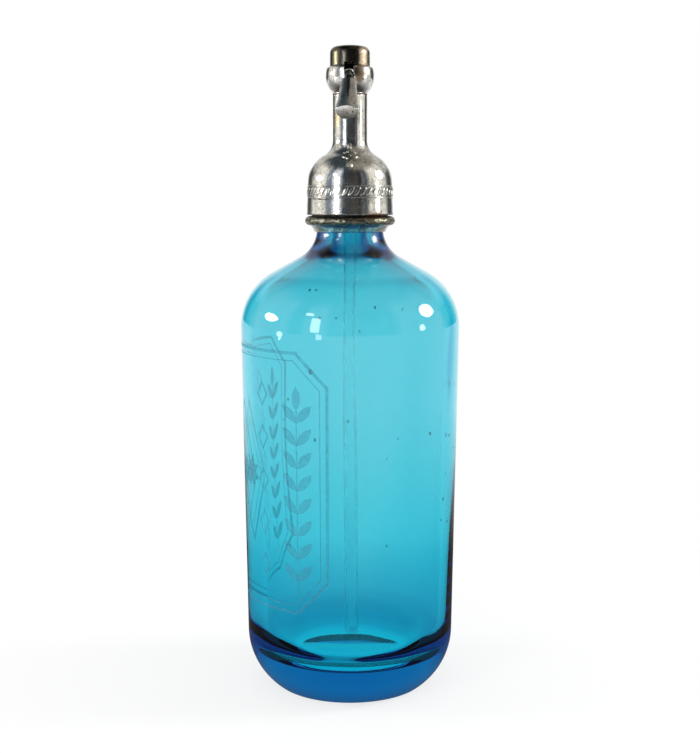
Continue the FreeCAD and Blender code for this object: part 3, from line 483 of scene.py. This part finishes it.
def plating(name, tone, dull, smooth, rough, pitting=0.6, dents=0.03, grain=0.006, patches=()):
    """Old bright plate: clouds where it has dulled, dimples and black pits, and edges worn
    round. Each patch is a place where something else shows: middle, reach, strength, colour
    and roughness."""
    material, tree = new_material(name)
    mm = millimetres(tree)
    inputs = {"Vector": mm, "Scale": CLOUDS, "Detail": 6.0, "Roughness": 0.62}
    dulled = add(tree, "MapRange", {"Value": add(tree, "TexNoise", inputs), 1: 0.42, 2: 0.66})
    inputs = {"Factor": dulled, "A": colour(tone), "B": colour(dull)}
    skin = add(tree, "Mix", inputs, data_type="RGBA")
    finish = add(tree, "MapRange", {"Value": dulled, 3: smooth, 4: rough})
    inputs = {"Vector": mm, "Scale": WANDERS, "Detail": 4.0, "Roughness": 0.7}
    wander = add(tree, "TexNoise", inputs)
    inputs = {0: wander.outputs["Color"], 1: [RAGGED] * 3, 2: mm}
    ragged = add(tree, "VectorMath", inputs, operation="MULTIPLY_ADD")
    for middle, reach, strength, code, patch_rough in patches:
        start = [c + RAGGED / 2 for c in middle]
        moved = add(tree, "VectorMath", {0: ragged, 1: start}, operation="SUBTRACT")
        scaled = add(tree, "VectorMath", {0: moved, 1: reach}, operation="DIVIDE")
        off = add(tree, "VectorMath", {0: scaled}, operation="LENGTH").outputs["Value"]
        cover = add(tree, "MapRange", {"Value": off, 1: 0.7, 2: 1.1, 3: strength, 4: 0.0})
        skin = add(tree, "Mix", {"Factor": cover, "A": skin, "B": colour(code)}, data_type="RGBA")
        finish = add(tree, "Mix", {"Factor": cover, "A": finish, "B": patch_rough})
    # The pits gather in some places and are faint in others.
    marks = None
    here = add(tree, "MapRange", {"Value": wander, 1: 0.44, 2: 0.56, 3: 0.15, 4: 1.0})
    for scale, size in PITS:
        cell = add(tree, "TexVoronoi", {"Vector": ragged, "Scale": scale})
        pit = add(tree, "MapRange", {"Value": cell, 1: size * 0.5, 2: size, 3: 1.0, 4: 0.0})
        some = add(tree, "Math", {0: pit, 1: here}, operation="MULTIPLY")
        marks = add(tree, "Math", {0: marks, 1: some}, operation="MAXIMUM") if marks else some
    black = add(tree, "MapRange", {"Value": marks, 1: 0.0, 2: 0.4, 3: 0.0, 4: pitting})
    inputs = {"Factor": black, "A": skin, "B": colour("1D1B18")}
    skin = add(tree, "Mix", inputs, data_type="RGBA")
    dimple = add(tree, "TexNoise", {"Vector": mm, "Scale": DIMPLES, "Detail": 3.0})
    soft_edges = add(tree, "Bevel", {"Radius": EDGE_WEAR * MM}, samples=6)
    relief = {"Height": dimple, "Strength": 1.0, "Distance": dents * MM, "Normal": soft_edges}
    waved = add(tree, "Bump", relief)
    relief = {"Height": wander, "Strength": 1.0, "Distance": grain * MM, "Normal": waved}
    grained = add(tree, "Bump", relief)
    relief = {"Height": marks, "Strength": 0.7, "Distance": PIT_DEPTH * MM, "Normal": grained}
    pitted = add(tree, "Bump", relief, invert=True)
    inputs = {"Base Color": skin, "Metallic": 1.0, "Roughness": finish, "Normal": pitted}
    add(tree, "OutputMaterial", {"Surface": add(tree, "BsdfPrincipled", inputs)})
    return material


# Nickel over cast brass, greased for years: a blurred mirror on the skirt, dark olive and
# uneven on the bead, partly old grease and partly a painted dark reflection, and black where the
# bead runs in under the bell.
collar_metal = plating(
    "collar_plate_painted_dark_bead", "C6C5BE", "96948A", 0.14, 0.3, pitting=0.8, dents=0.06, grain=0.06,
    patches=(
        # The bead's olive: partly old grease, partly a painted dark reflection of the table.
        ((0, 0, 223.8), (EVERYWHERE, EVERYWHERE, 2.3), 0.82, "55523F", 0.32),
        ((0, 0, 225.8), (EVERYWHERE, EVERYWHERE, 0.5), 0.8, "2C2418", 0.5),
        ((13, -16, 225.6), (7, 7, 0.9), 0.8, "5A3A22", 0.6),
    ),
)
SPLIT_TURN, SPLIT_GAP, HALF_STEPS = 24.5, 1.6, 90  # turn and gap in degrees
COLLAR_BORE, COLLAR_TOP, THREAD_RADIUS = 15.9, 233.0, 18.3
# The skirt's flare, from its foot to the bead, as (radius, height).
SKIRT = (
    (16.7, 218.3), (16.95, 218.55), (17.25, 219.2), (17.7, 220.1), (18.3, 220.9), (18.95, 221.3),
)
BEAD_FOOT, BEAD_TOP, BEAD_RADIUS, BEAD_ROUND = 221.3, 225.5, 21.38, 2.1
PITCH, THREAD_DEPTH, THREAD_START = 1.5, 0.45, 0.2
THREAD_FORM = ((0.0, THREAD_DEPTH), (0.35, 0), (0.6, 0), (0.95, THREAD_DEPTH))
SHORT_ON_BEAD, BEAD_WANDER, SHORT_ELSEWHERE = 0.3, 0.13, 0.02
NICK_TURN, NICK_WIDTH, NICK_DEPTH = -11.0, 0.9, 0.35


def collar_section():
    """The collar's outline: skirt, rolled bead, and a thread that the bell screws over."""
    skirt = [(COLLAR_BORE, SKIRT[0][1]), *SKIRT]
    middle = (BEAD_RADIUS - BEAD_ROUND, (BEAD_FOOT + BEAD_TOP) / 2)
    bead = arc(middle, BEAD_ROUND, -math.pi / 2 + 0.25, math.pi / 2, 14)
    root = THREAD_RADIUS - THREAD_DEPTH
    neck = [(root, BEAD_TOP + 0.05)]
    turns = int((COLLAR_TOP - BEAD_TOP) / PITCH)
    for number in range(turns):
        level = BEAD_TOP + THREAD_START + number * PITCH
        for share, depth in THREAD_FORM:
            neck.append((THREAD_RADIUS - depth, level + share * PITCH))
    return skirt + bead + neck + [(root, COLLAR_TOP), (COLLAR_BORE, COLLAR_TOP)]


def cast_wander(angle, radius, height):
    """How far the rough casting falls short of its section: most on the bead and the nick."""
    wave = math.sin(9 * angle + height) * math.sin(23 * angle - 1.7 * height)
    wave += 0.7 * math.sin(41 * angle + 2.3 * height) * math.sin(13 * angle + 0.8)
    wave += 0.6 * math.sin(67 * angle - 3.1 * height) * math.sin(29 * angle + 2.0)
    on_bead = BEAD_FOOT < height < BEAD_TOP and radius > THREAD_RADIUS
    short = SHORT_ON_BEAD + BEAD_WANDER * wave if on_bead else SHORT_ELSEWHERE
    on_skirt = radius > COLLAR_BORE + 0.5 and height < BEAD_FOOT + 0.5
    nick = math.exp(-(((math.degrees(angle) + 90 - NICK_TURN) / NICK_WIDTH) ** 2))
    return short + (NICK_DEPTH * nick if on_skirt else 0)


def bridge(mesh, rings):
    """Faces between closed rings of points, each as long as the next."""
    for lower, upper in zip(rings, rings[1:]):
        for at in range(len(lower)):
            after = (at + 1) % len(lower)
            mesh.faces.new([lower[at], lower[after], upper[after], upper[at]])


def collar_half(name, middle):
    """Half of the collar, its middle at this angle, closed at the split."""
    mesh = bmesh.new()
    section = collar_section()
    half = math.radians(90 - SPLIT_GAP / 2)
    rings = []
    for step in range(2 * HALF_STEPS + 1):
        angle = math.radians(middle) + half * (step / HALF_STEPS - 1)
        ring = []
        for radius, height in section:
            reach = radius - (cast_wander(angle, radius, height) if radius > COLLAR_BORE else 0)
            ring.append(mesh.verts.new(round_axis(angle, reach, height)))
        rings.append(ring)
    bridge(mesh, rings)
    mesh.faces.new(rings[0])
    mesh.faces.new(rings[-1][::-1])
    bmesh.ops.recalc_face_normals(mesh, faces=mesh.faces)
    piece = as_piece(f"cast_{name}", mesh, collar_metal)
    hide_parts(name)
    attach(piece, "siphon")


collar_half("collar_half_right", SPLIT_TURN)
collar_half("collar_half_left", SPLIT_TURN + 180)
finish_node("lip_ring", rubber)
finish_node("mouth_gasket", rubber)

# ---------------------------------------------------------------- bell and stem
# One brass casting, nickelled and worn, with a long stem. Rust from below has crept into its
# rim, and the plate has gone yellow where a hand grips the stem. A plain rope border is
# stamped round the wall, between two fine rings.

BELL_RIM, BELL_TOP, RIM_RADIUS, BELL_TAPER = 226.2, 241.0, 20.43, 0.55
BAND_FOOT, BAND_TOP, RING_WIDTH, RING_STEPS = 234.4, 239.6, 0.5, 160
STRANDS = 44
# Half of a strand's outline, along and up. Turned half round, it is the other half.
STRAND = [(-1.7, -1.9), (-0.5, -1.9), (0.6, -0.7), (1.2, 0.7)]
RAISED, SIDE_RISE, SUNK, BEVEL = 0.22, 0.6, 0.1, 0.3

# Nickel plate rubbed by hands and cloths: a soft grey mirror with black pits, a bluish grey
# painted reflection up the front of the stem, yellow where it is held, and brown with rust along
# the rim.
bell_metal = plating(
    "worn_nickel_plate_painted_reflection", "DDDBD5", "A09F98", 0.07, 0.2, pitting=0.85, dents=0.02, grain=0.004,
    patches=(
        ((-6.2, -5.4, 269.5), (2.7, 2.7, 3.6), 0.75, "8C7442", 0.35),
        ((0, 0, 226.3), (EVERYWHERE, EVERYWHERE, 0.55), 0.8, "2E261B", 0.5),
        ((13, -15, 226.6), (6, 6, 1.1), 0.7, "5E3D24", 0.55),
        ((-12, -16, 233.6), (8, 7, 0.45), 0.85, "1B1916", 0.4),
        ((0, 0, 237), (EVERYWHERE, EVERYWHERE, 3.4), 0.2, "7B7A74", 0.2),
        # Painted reflection: the stem's front darkened bluish grey for the dark room in front.
        ((0, -8, 272), (3.5, 5, 14), 0.5, "5D676B", 0.2),
    ),
)
finish_node("bell", bell_metal)


def bell_radius(height):
    """The outside radius of the bell's wall, which tapers a little."""
    return RIM_RADIUS - BELL_TAPER * (height - BELL_RIM) / (BELL_TOP - BELL_RIM)


def close_ring(mesh, ring, order, middle=None):
    """Faces from a ring to its middle, or to the place given."""
    middle = mesh.verts.new(middle or sum((vert.co for vert in ring), Vector()) / len(ring))
    for at, vert in enumerate(ring):
        mesh.faces.new([vert, ring[(at + 1) % len(ring)], middle][::order])


def raised_mark(mesh, outline, turn, level):
    """A mark that stands off the bell, its edges sloped, given as (along, up) round its middle."""

    def place(along, up, off):
        reach = bell_radius(level + up) + off
        angle = math.radians(turn - 90) + along / RIM_RADIUS
        return round_axis(angle, reach, level + up)

    size = max(math.hypot(*point) for point in outline)
    inset = 1 - BEVEL / size * 2
    top = [tuple(c * inset for c in point) for point in outline]
    rings = []
    for points, off in ((outline, -SUNK), (outline, RAISED * SIDE_RISE), (top, RAISED)):
        rings.append([mesh.verts.new(place(*point, off)) for point in points])
    bridge(mesh, rings)
    close_ring(mesh, rings[0], -1, place(0, 0, -SUNK))
    close_ring(mesh, rings[-1], 1, place(0, 0, RAISED))


def raised_ring(mesh, level, width):
    """A fine half-round ring round the bell."""
    reach = bell_radius(level)
    angles = [math.pi * step / 6 for step in range(7)]
    bead = [(reach + RAISED * math.sin(a), level - width / 2 * math.cos(a)) for a in angles]
    lower, upper = [(reach - SUNK, level + way * width / 2) for way in (-1, 1)]
    turned(mesh, [lower, *bead, upper], RING_STEPS)


mesh = bmesh.new()
for level in (BAND_FOOT, BAND_TOP):
    raised_ring(mesh, level, RING_WIDTH)
strand = STRAND + [(-along, -up) for along, up in STRAND]
for number in range(STRANDS):
    raised_mark(mesh, strand, 360 * (number + 0.5) / STRANDS, (BAND_FOOT + BAND_TOP) / 2)
bmesh.ops.recalc_face_normals(mesh, faces=mesh.faces)
band = as_piece("bell_border", mesh, bell_metal)
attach(band, "siphon")

# ---------------------------------------------------------------- ball and spout
# The valve housing, cast with its spout and nickelled like the bell. A red fibre washer seals
# it on the stem. The plate is brown beside the lever's slot, and painted dark under the lever as
# painted shade.

# Vulcanised fibre: a thin dull red-brown line.
finish_node("stem_washer", moulded("red_fibre", "6B3020", "3C1A12", 0.8))
# Nickel plate, more dented: a grey mirror, brown beside the lever's slot, a grey painted
# reflection low on the left, and painted shade under the lever.
ball_metal = plating(
    "ball_plate_and_painted_shade", "DAD8D2", "A9A8A1", 0.08, 0.24, pitting=0.8, dents=0.04,
    patches=(
        ((4.7, -10, 290.4), (2.6, 4, 4.4), 0.85, "6A5138", 0.3),
        # Painted reflection: grey low on the ball's left.
        ((-8.5, -6.5, 285.2), (3.5, 4, 2.6), 0.5, "77766F", 0.4),
        # Painted shade: darker under the lever.
        ((0, -10, 283.5), (4, 4, 1.8), 0.5, "4E4A42", 0.35),
    ),
)
finish_node("valve_body", ball_metal)

# ---------------------------------------------------------------- valve inside the ball
# Turned brass: a seat bush, a rubber disc in its cup, the screw that holds it, and the
# plunger, which rises through a rubber seal held down by a ring.

# Clean brass off the lathe: soft gold. The plunger, seen through the slot, is painted dark, a
# painted shade for the dark inside of the slot.
turned_brass = plating("turned_brass", "C8A866", "A88848", 0.2, 0.35, pitting=0.2)
for node in ("valve_seat", "washer_screw", "valve_cup", "gland_ring"):
    finish_node(node, turned_brass)
finish_node("plunger", plating("brass_painted_in_slot_shade", "4A4030", "2B2620", 0.3, 0.5))
# Black rubber, matt all over.
black_rubber = moulded("black_rubber", "1E1D1C", "121110", 0.65)
finish_node("valve_washer", black_rubber)
finish_node("gland_seal", black_rubber)

# ---------------------------------------------------------------- lever and its pin
# The thumb lever, cast and nickelled. Thumbs have polished its rims bright; its hollowed
# middle is painted dark down to the belly, a painted reflection of the dark room in front.

# Nickel plate: two bright rims, and between them a near black painted reflection down the
# middle, a slaty painted one at its left and a lighter grey painted one at its right, and a
# belly that mirrors the table. The end is painted pale and warm over the turquoise it mirrors,
# with a dark painted spot at its left.
lever_metal = plating(
    "lever_plate_painted_reflections", "DEDCD6", "A3A49F", 0.1, 0.26, pitting=0.9, dents=0.05,
    patches=(
        # Painted reflections down the paddle: dark middle, slaty left, lighter right.
        ((0.1, -20, 284.5), (0.8, 11, 11), 0.92, "1F2020", 0.35),
        ((-1.9, -19, 284), (1.5, 13, 13), 0.45, "57666C", 0.25),
        ((2.0, -22, 281), (1.2, 9, 9), 0.3, "8E8880", 0.3),
        # Painted reflections on the end: pale warm over its turquoise, a dark spot at its left.
        ((0, -31.0, 271.0), (7, 1.6, 3.2), 0.5, "B5AAA0", 0.3),
        ((-1, -31.6, 272), (3.0, 1.0, 0.7), 0.7, "38362F", 0.4),
    ),
)

PIN_REACH, PIN_LEVEL, LEVER_SLOPE = 8.3, 291.619, math.radians(40)
EYE_RADIUS, EYE_WIDTH, HOLE_RADIUS = 1.6, 3.6, 0.85
TONGUE_REACH, TONGUE_RISE, TONGUE_RADIUS, TONGUE_WIDTH = 8.3, 2.878, 0.8, 2.4
TONGUE_ROOT = ((1.2, -0.5), (1.2, 1.0))
PADDLE_FACE, PADDLE_RIM = 1.2, 0.7
# Down the paddle: distance from the pin, width, depth of the belly, height of the crown.
PADDLE = (
    (0.9, 3.6, 1.2, 0.5),
    (4.2, 3.6, 1.2, 0.5),
    (8.2, 7.0, 2.2, 1.1),
    (17.9, 8.3, 3.1, 1.25),
    (28.4, 10.6, 3.5, 1.25),
)
# The belly reaches this far out past the face for each millimetre down, leaning from here on.
END_CUT, CUT_FROM = -0.45, 18.0
# The rounding at the end: its length, and how far it draws the section in round its middle.
END_ROUND, END_DRAW, SECTION_MIDDLE = 0.45, 0.07, -0.8


def paddle_outline(width, belly, crown):
    """A section of the paddle as (across, above): round belly, soft rims, crowned face."""
    half, rim = width / 2, min(PADDLE_RIM, width / 5)
    flat = half - rim
    lean = math.atan(2 * crown / flat)
    angles = [math.pi * (1 + step / 24) for step in range(25)]
    below = [(half * math.cos(a), belly * math.sin(a)) for a in angles]
    right = arc((flat, PADDLE_FACE - rim), rim, 0, math.pi / 2 - lean, 5)
    edge, level = right[-1]
    shares = [1 - step / 8 for step in range(1, 16)]
    face = [(edge * share, level + crown * (1 - share**2)) for share in shares]
    left = [(-across, above) for across, above in reversed(right)]
    return below + right + face + left


def on_lever(along, across, above):
    """A place on the lever at rest, from its distance down the paddle."""
    back = along * math.cos(LEVER_SLOPE) + above * math.sin(LEVER_SLOPE)
    rise = above * math.cos(LEVER_SLOPE) - along * math.sin(LEVER_SLOPE)
    return [c * MM for c in (across, -PIN_REACH - back, PIN_LEVEL + rise)]


def between_stations(along):
    """Width, belly and crown at this distance, swelling smoothly from place to place."""
    for start, end in zip(PADDLE, PADDLE[1:]):
        if along <= end[0]:
            share = (along - start[0]) / (end[0] - start[0])
            if start[0] < PADDLE[2][0]:
                share = share * share * (3 - 2 * share)
            return [a + (b - a) * share for a, b in zip(start[1:], end[1:])]
    return PADDLE[-1][1:]


def add_paddle(mesh):
    """The paddle, its end rolled over a small round into the cut face."""
    start, end = PADDLE[0][0], PADDLE[-1][0]
    stations = [(start + (end - start) * step / 70, 1.0, 0.0) for step in range(71)]
    for a in (math.pi / 2 * step / 5 for step in range(1, 6)):
        stations.append((end, 1 - END_DRAW * (1 - math.cos(a)), END_ROUND * math.sin(a)))
    rings = []
    for along, scale, past in stations:
        lean = END_CUT * max(0, (along - CUT_FROM) / (end - CUT_FROM)) ** 2
        ring = []
        for across, above in paddle_outline(*between_stations(along)):
            above = (above - SECTION_MIDDLE) * scale + SECTION_MIDDLE
            place = on_lever(along + past + lean * (above - PADDLE_FACE), across * scale, above)
            ring.append(mesh.verts.new(place))
        rings.append(ring)
    bridge(mesh, rings)
    close_ring(mesh, rings[0], -1)
    close_ring(mesh, rings[-1], 1)


def add_slab(mesh, outline, width):
    """A flat piece of the lever's side view, given as (inwards, up) from the pin."""
    rings = []
    for across in (-width / 2, width / 2):
        ring = [(across, inwards - PIN_REACH, PIN_LEVEL + up) for inwards, up in outline]
        rings.append([mesh.verts.new([c * MM for c in place]) for place in ring])
    bridge(mesh, rings)
    close_ring(mesh, rings[0], -1)
    close_ring(mesh, rings[1], 1)


def add_eye(mesh):
    """The eye that turns on the pin: a ring, wider than the tongue."""
    rings = []
    corners = ((HOLE_RADIUS, -1), (EYE_RADIUS, -1), (EYE_RADIUS, 1), (HOLE_RADIUS, 1))
    for radius, side in corners:
        ring = []
        for a in (2 * math.pi * step / 48 for step in range(48)):
            inwards, up = radius * math.cos(a), radius * math.sin(a)
            place = (side * EYE_WIDTH / 2, inwards - PIN_REACH, PIN_LEVEL + up)
            ring.append(mesh.verts.new([c * MM for c in place]))
        rings.append(ring)
    bridge(mesh, rings + rings[:1])


mesh = bmesh.new()
add_paddle(mesh)
nose = arc((TONGUE_REACH, TONGUE_RISE), TONGUE_RADIUS, -math.pi / 2, math.pi / 2, 12)
add_slab(mesh, [TONGUE_ROOT[0], *nose, TONGUE_ROOT[1]], TONGUE_WIDTH)
add_eye(mesh)
bmesh.ops.recalc_face_normals(mesh, faces=mesh.faces)
lever = as_piece("cast_lever", mesh, lever_metal)
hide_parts("lever")
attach(lever, "thumb_lever")
finish_node("lever_pin", lever_metal)

# ---------------------------------------------------------------- spring and cap
# A coil of steel wire closes the valve: it stands on the plunger's flange, bears on a gasket
# under the cap, and shortens when the lever is pressed, though here it is built at rest. The
# domed brass cap was left unplated, and screws into the ball.

WIRE, COIL_RADIUS, COIL_TURNS = 0.7, 3.6, 4
TURN_STEPS, WIRE_SIDES = 40, 12


def add_coil(mesh, foot, top):
    """Round wire wound evenly from one height to the other, its cut ends closed."""
    rings = []
    steps = COIL_TURNS * TURN_STEPS
    for step in range(steps + 1):
        angle = 2 * math.pi * step / TURN_STEPS
        level = foot + (top - foot) * step / steps
        ring = []
        for a in (2 * math.pi * side / WIRE_SIDES for side in range(WIRE_SIDES)):
            reach = COIL_RADIUS + WIRE / 2 * math.cos(a)
            ring.append(mesh.verts.new(round_axis(angle, reach, level + WIRE / 2 * math.sin(a))))
        rings.append(ring)
    bridge(mesh, rings)
    close_ring(mesh, rings[0], -1)
    close_ring(mesh, rings[-1], 1)


lowest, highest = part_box("return_spring")
mesh = bmesh.new()
add_coil(mesh, lowest[2] / MM + WIRE / 2, highest[2] / MM - WIRE / 2)
bmesh.ops.recalc_face_normals(mesh, faces=mesh.faces)
# Drawn steel wire: plain grey, softly bright.
spring_steel = plating("spring_steel_wire", "9A9A98", "7F7F7C", 0.25, 0.4)
coil = as_piece("coil_spring", mesh, spring_steel)
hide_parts("return_spring")
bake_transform(coil)
finish_node("cap_gasket", rubber)
# Tarnished brass, still smooth, with a soft sheen. It is painted almost black in front, olive
# to the left and coppery to the right: painted reflections of the dark room in front and the lit
# sides.
cap_metal = plating(
    "tarnished_cap_brass_painted_reflections", "736C59", "565142", 0.16, 0.28, pitting=0.5,
    patches=(
        # Painted reflections: black in front, copper to the right, olive to the left.
        ((0.5, -9.5, 299.5), (5.8, 8, 9), 0.8, "303130", 0.22),
        ((7.2, -6, 298), (3.0, 7, 9), 0.8, "C2AC96", 0.2),
        ((-7.5, -5, 299), (3.5, 7, 9), 0.6, "4C4736", 0.26),
        ((0, 0, 294.6), (EVERYWHERE, EVERYWHERE, 0.4), 0.7, "24211C", 0.5),
    ),
)
finish_node("cap", cap_metal)

# ---------------------------------------------------------------- floor, light and camera
# A white painted table in a plain room, with bright walls to the sides and a window at the
# front left. Everything here is in metres.

TABLE_HALF = 4.0
ROOM_LIGHT, MIRRORED_LIGHT = 0.7, 1.1

# White paint, matt: pure white to the eye, with only a soft shadow close to the siphon.
tabletop, tree = new_material("white_table")
path = add(tree, "LightPath")
camera_ray, bent_ray = path.outputs["Is Camera Ray"], path.outputs["Is Transmission Ray"]
# A ray mirrored by a surface, without those bent through glass.
inputs = {0: path.outputs["Is Glossy Ray"], 1: bent_ray}
mirror_ray = add(tree, "Math", inputs, operation="SUBTRACT", use_clamp=True)
away = add(tree, "VectorMath", {0: add(tree, "TexCoord").outputs["Object"]}, operation="LENGTH")
inputs = {"Value": away, 1: 0.1, 2: 0.34}
far = add(tree, "MapRange", inputs, interpolation_type="SMOOTHSTEP")
# How much of what each ray sees is the plain white, close to the siphon.
share = 0.0
for ray, near_share in ((camera_ray, 0.72), (bent_ray, 1.0), (mirror_ray, 1.0)):
    bright = add(tree, "MapRange", {"Value": far, 3: near_share, 4: 1.0})
    part = add(tree, "Math", {0: ray, 1: bright}, operation="MULTIPLY")
    share = add(tree, "Math", {0: share, 1: part}, operation="MAXIMUM")
lit = add(tree, "BsdfDiffuse", {"Color": colour("FAFAFA")})
# In the metal the table close by lies in the siphon's own shade, and brightens further out.
dim = add(tree, "MapRange", {"Value": away, 1: 0.25, 2: 0.8, 3: 0.92, 4: 0.0})
dimmed = add(tree, "Math", {0: mirror_ray, 1: dim}, operation="MULTIPLY")
glow = add(tree, "Math", {0: 1.0, 1: dimmed}, operation="SUBTRACT")
# Seen through the bottle, the table behind it lies in the glass's own blue shadow.
shade = add(tree, "MapRange", {"Value": away, 1: 0.08, 2: 0.24, 3: 1.0, 4: 0.0})
under = add(tree, "MapRange", {"Value": away, 1: 0.03, 2: 0.06})
shade = add(tree, "Math", {0: shade, 1: under}, operation="MULTIPLY")
shaded = add(tree, "Math", {0: bent_ray, 1: shade}, operation="MULTIPLY")
inputs = {"Factor": shaded, "A": colour("FFFFFF"), "B": colour("C4C9DC")}
tint = add(tree, "Mix", inputs, data_type="RGBA")
plain = add(tree, "Emission", {"Color": tint, "Strength": glow})
mixed = add(tree, "MixShader", {0: share, 1: lit, 2: plain})
add(tree, "OutputMaterial", {"Surface": mixed})
mesh = bmesh.new()
bmesh.ops.create_grid(mesh, x_segments=2, y_segments=2, size=TABLE_HALF)
as_piece("white_table", mesh, tabletop)

scene = bpy.context.scene
world = bpy.data.worlds.new("plain_room")
scene.world = world
world.use_nodes = True
tree = world.node_tree
tree.nodes.clear()
# The walls round the room, by their turn from behind the camera towards +X.
ROOM = (
    (-180, "F4F4F2"), (-160, "F4F4F2"), (-148, "54575A"), (-128, "4A4D50"), (-112, "FFFDF6"),
    (-70, "FFFDF6"), (-62, "8E9AA8"), (-50, "7F8EA2"), (-45, "F2F6FF"), (-26, "F2F6FF"),
    (-18, "34445A"), (-4, "3F4448"), (22, "4C4A46"), (30, "1F2226"), (38, "6A7078"),
    (48, "4B5158"), (60, "F6F3EA"), (112, "FFFDF6"), (124, "4A4D50"), (146, "54575A"),
    (160, "F4F4F2"), (180, "F4F4F2"),
)
way = add(tree, "SeparateXYZ", {0: add(tree, "TexCoord").outputs["Generated"]})
across, back, rise = (way.outputs[axis] for axis in "XYZ")
front = add(tree, "Math", {0: back, 1: -1.0}, operation="MULTIPLY")
turn = add(tree, "Math", {0: across, 1: front}, operation="ARCTAN2")
along = add(tree, "MapRange", {"Value": turn, 1: -math.pi, 2: math.pi})
walls = add(tree, "ValToRGB", {"Fac": along})
ramp = walls.color_ramp
for index, (degrees, code) in enumerate(ROOM):
    spot = (degrees + 180) / 360
    stop = ramp.elements[index] if index < 2 else ramp.elements.new(spot)
    stop.position = spot
    stop.color = colour(code)
# The ceiling is dim: bluish to the left, warmer to the right.
sideways = add(tree, "MapRange", {"Value": across, 1: -0.15, 2: 0.25})
inputs = {"Factor": sideways, "A": colour("3F4A53"), "B": colour("9A948A")}
ceiling = add(tree, "Mix", inputs, data_type="RGBA")
# High up behind the siphon the wall is bright.
lifted = add(tree, "MapRange", {"Value": rise, 1: 0.25, 2: 0.4})
backward = add(tree, "MapRange", {"Value": back, 1: 0.22, 2: 0.5})
bright = add(tree, "Math", {0: lifted, 1: backward}, operation="MULTIPLY")
inputs = {"Factor": bright, "A": walls, "B": colour("D2D1CC")}
walls = add(tree, "Mix", inputs, data_type="RGBA")
inputs = {"Value": rise, 1: 0.6, 2: 0.88}
up = add(tree, "MapRange", inputs, interpolation_type="SMOOTHSTEP")
room = add(tree, "Mix", {"Factor": up, "A": walls, "B": ceiling}, data_type="RGBA")
# What the glass bends into view: white low down, dusk blue above and far out to the sides.
inputs = {"Value": rise, 1: 0.35, 2: 0.6}
high = add(tree, "MapRange", inputs, interpolation_type="SMOOTHSTEP")
wide = add(tree, "Math", {0: across}, operation="ABSOLUTE")
beyond = add(tree, "MapRange", {"Value": wide, 1: 0.7, 2: 1.0, 3: 0.0, 4: 0.4})
gone = add(tree, "Math", {0: high, 1: beyond}, operation="MAXIMUM")
inputs = {"Factor": gone, "A": colour("FFFFFF"), "B": colour("1A2650")}
behind = add(tree, "Background", {"Color": add(tree, "Mix", inputs, data_type="RGBA")})
white = add(tree, "Background", {"Color": colour("FFFFFF")})
fill = add(tree, "Background", {"Color": colour("FFFFFF"), "Strength": ROOM_LIGHT})
mirrored = add(tree, "Background", {"Color": room, "Strength": MIRRORED_LIGHT})
path = add(tree, "LightPath")
seen = add(tree, "MixShader", {0: path.outputs["Is Glossy Ray"], 1: fill, 2: mirrored})
seen = add(tree, "MixShader", {0: path.outputs["Is Transmission Ray"], 1: seen, 2: behind})
seen = add(tree, "MixShader", {0: path.outputs["Is Camera Ray"], 1: seen, 2: white})
add(tree, "OutputWorld", {"Surface": seen})

LAMP_CENTRE, LAMP_REACH = 0.18, 1.0  # the height they aim at, and how far off they stand
# Each lamp: its turn, the angle it is lifted by, width, height, brightness.
LAMPS = {
    "left_lamp": (-89.0, 15.0, 0.36, 0.16, 22),
    "left_low_lamp": (-73.0, -3.9, 0.13, 0.13, 9),
    "right_lamp": (95.7, 23.4, 0.34, 0.28, 22),
    "right_low_lamp": (81.0, 4.0, 0.15, 0.15, 11),
    "window_top": (-42.0, 30.5, 0.15, 0.08, 9),
    "window_middle": (-33.0, 13.5, 0.17, 0.40, 9),
    "window_low": (-28.5, -3.6, 0.1, 0.12, 6),
}
for name, (turn, lift, width, height, brightness) in LAMPS.items():
    lamp = bpy.data.lights.new(name, "AREA")
    lamp.shape = "RECTANGLE" if "window" in name else "ELLIPSE"
    lamp.size, lamp.size_y = width, height
    area = width * height * (1 if "window" in name else math.pi / 4)
    lamp.energy = brightness * math.pi * area
    holder = bpy.data.objects.new(name, lamp)
    scene.collection.objects.link(holder)
    turn, lift = math.radians(turn), math.radians(lift)
    aim = Vector((math.sin(turn), -math.cos(turn), 0)) * math.cos(lift)
    aim.z = math.sin(lift)
    holder.location = Vector((0, 0, LAMP_CENTRE)) + aim * LAMP_REACH
    holder.rotation_euler = aim.to_track_quat("Z", "Y").to_euler()
    holder.visible_camera = False
    holder.visible_transmission = False

# The camera stands this far off, this high, a little to the right, and looks down a little.
EYE_REACH, EYE_HEIGHT, EYE_TURN, EYE_DIP = 0.640, 0.2405, 2.5, 8.124
LENS, NEAREST = 64.47, 0.01
BOUNCES = 24  # enough for light to pass both walls of the bottle and the tube
eye = bpy.data.cameras.new("camera")
eye.lens, eye.clip_start = LENS, NEAREST
camera = bpy.data.objects.new("camera", eye)
scene.collection.objects.link(camera)
turn = math.radians(EYE_TURN)
camera.location = (EYE_REACH * math.sin(turn), -EYE_REACH * math.cos(turn), EYE_HEIGHT)
camera.rotation_euler = (math.radians(90 - EYE_DIP), 0, turn)
scene.camera = camera
scene.view_settings.view_transform = "Standard"
scene.cycles.max_bounces = BOUNCES
scene.cycles.transmission_bounces = BOUNCES
scene.cycles.glossy_bounces = BOUNCES
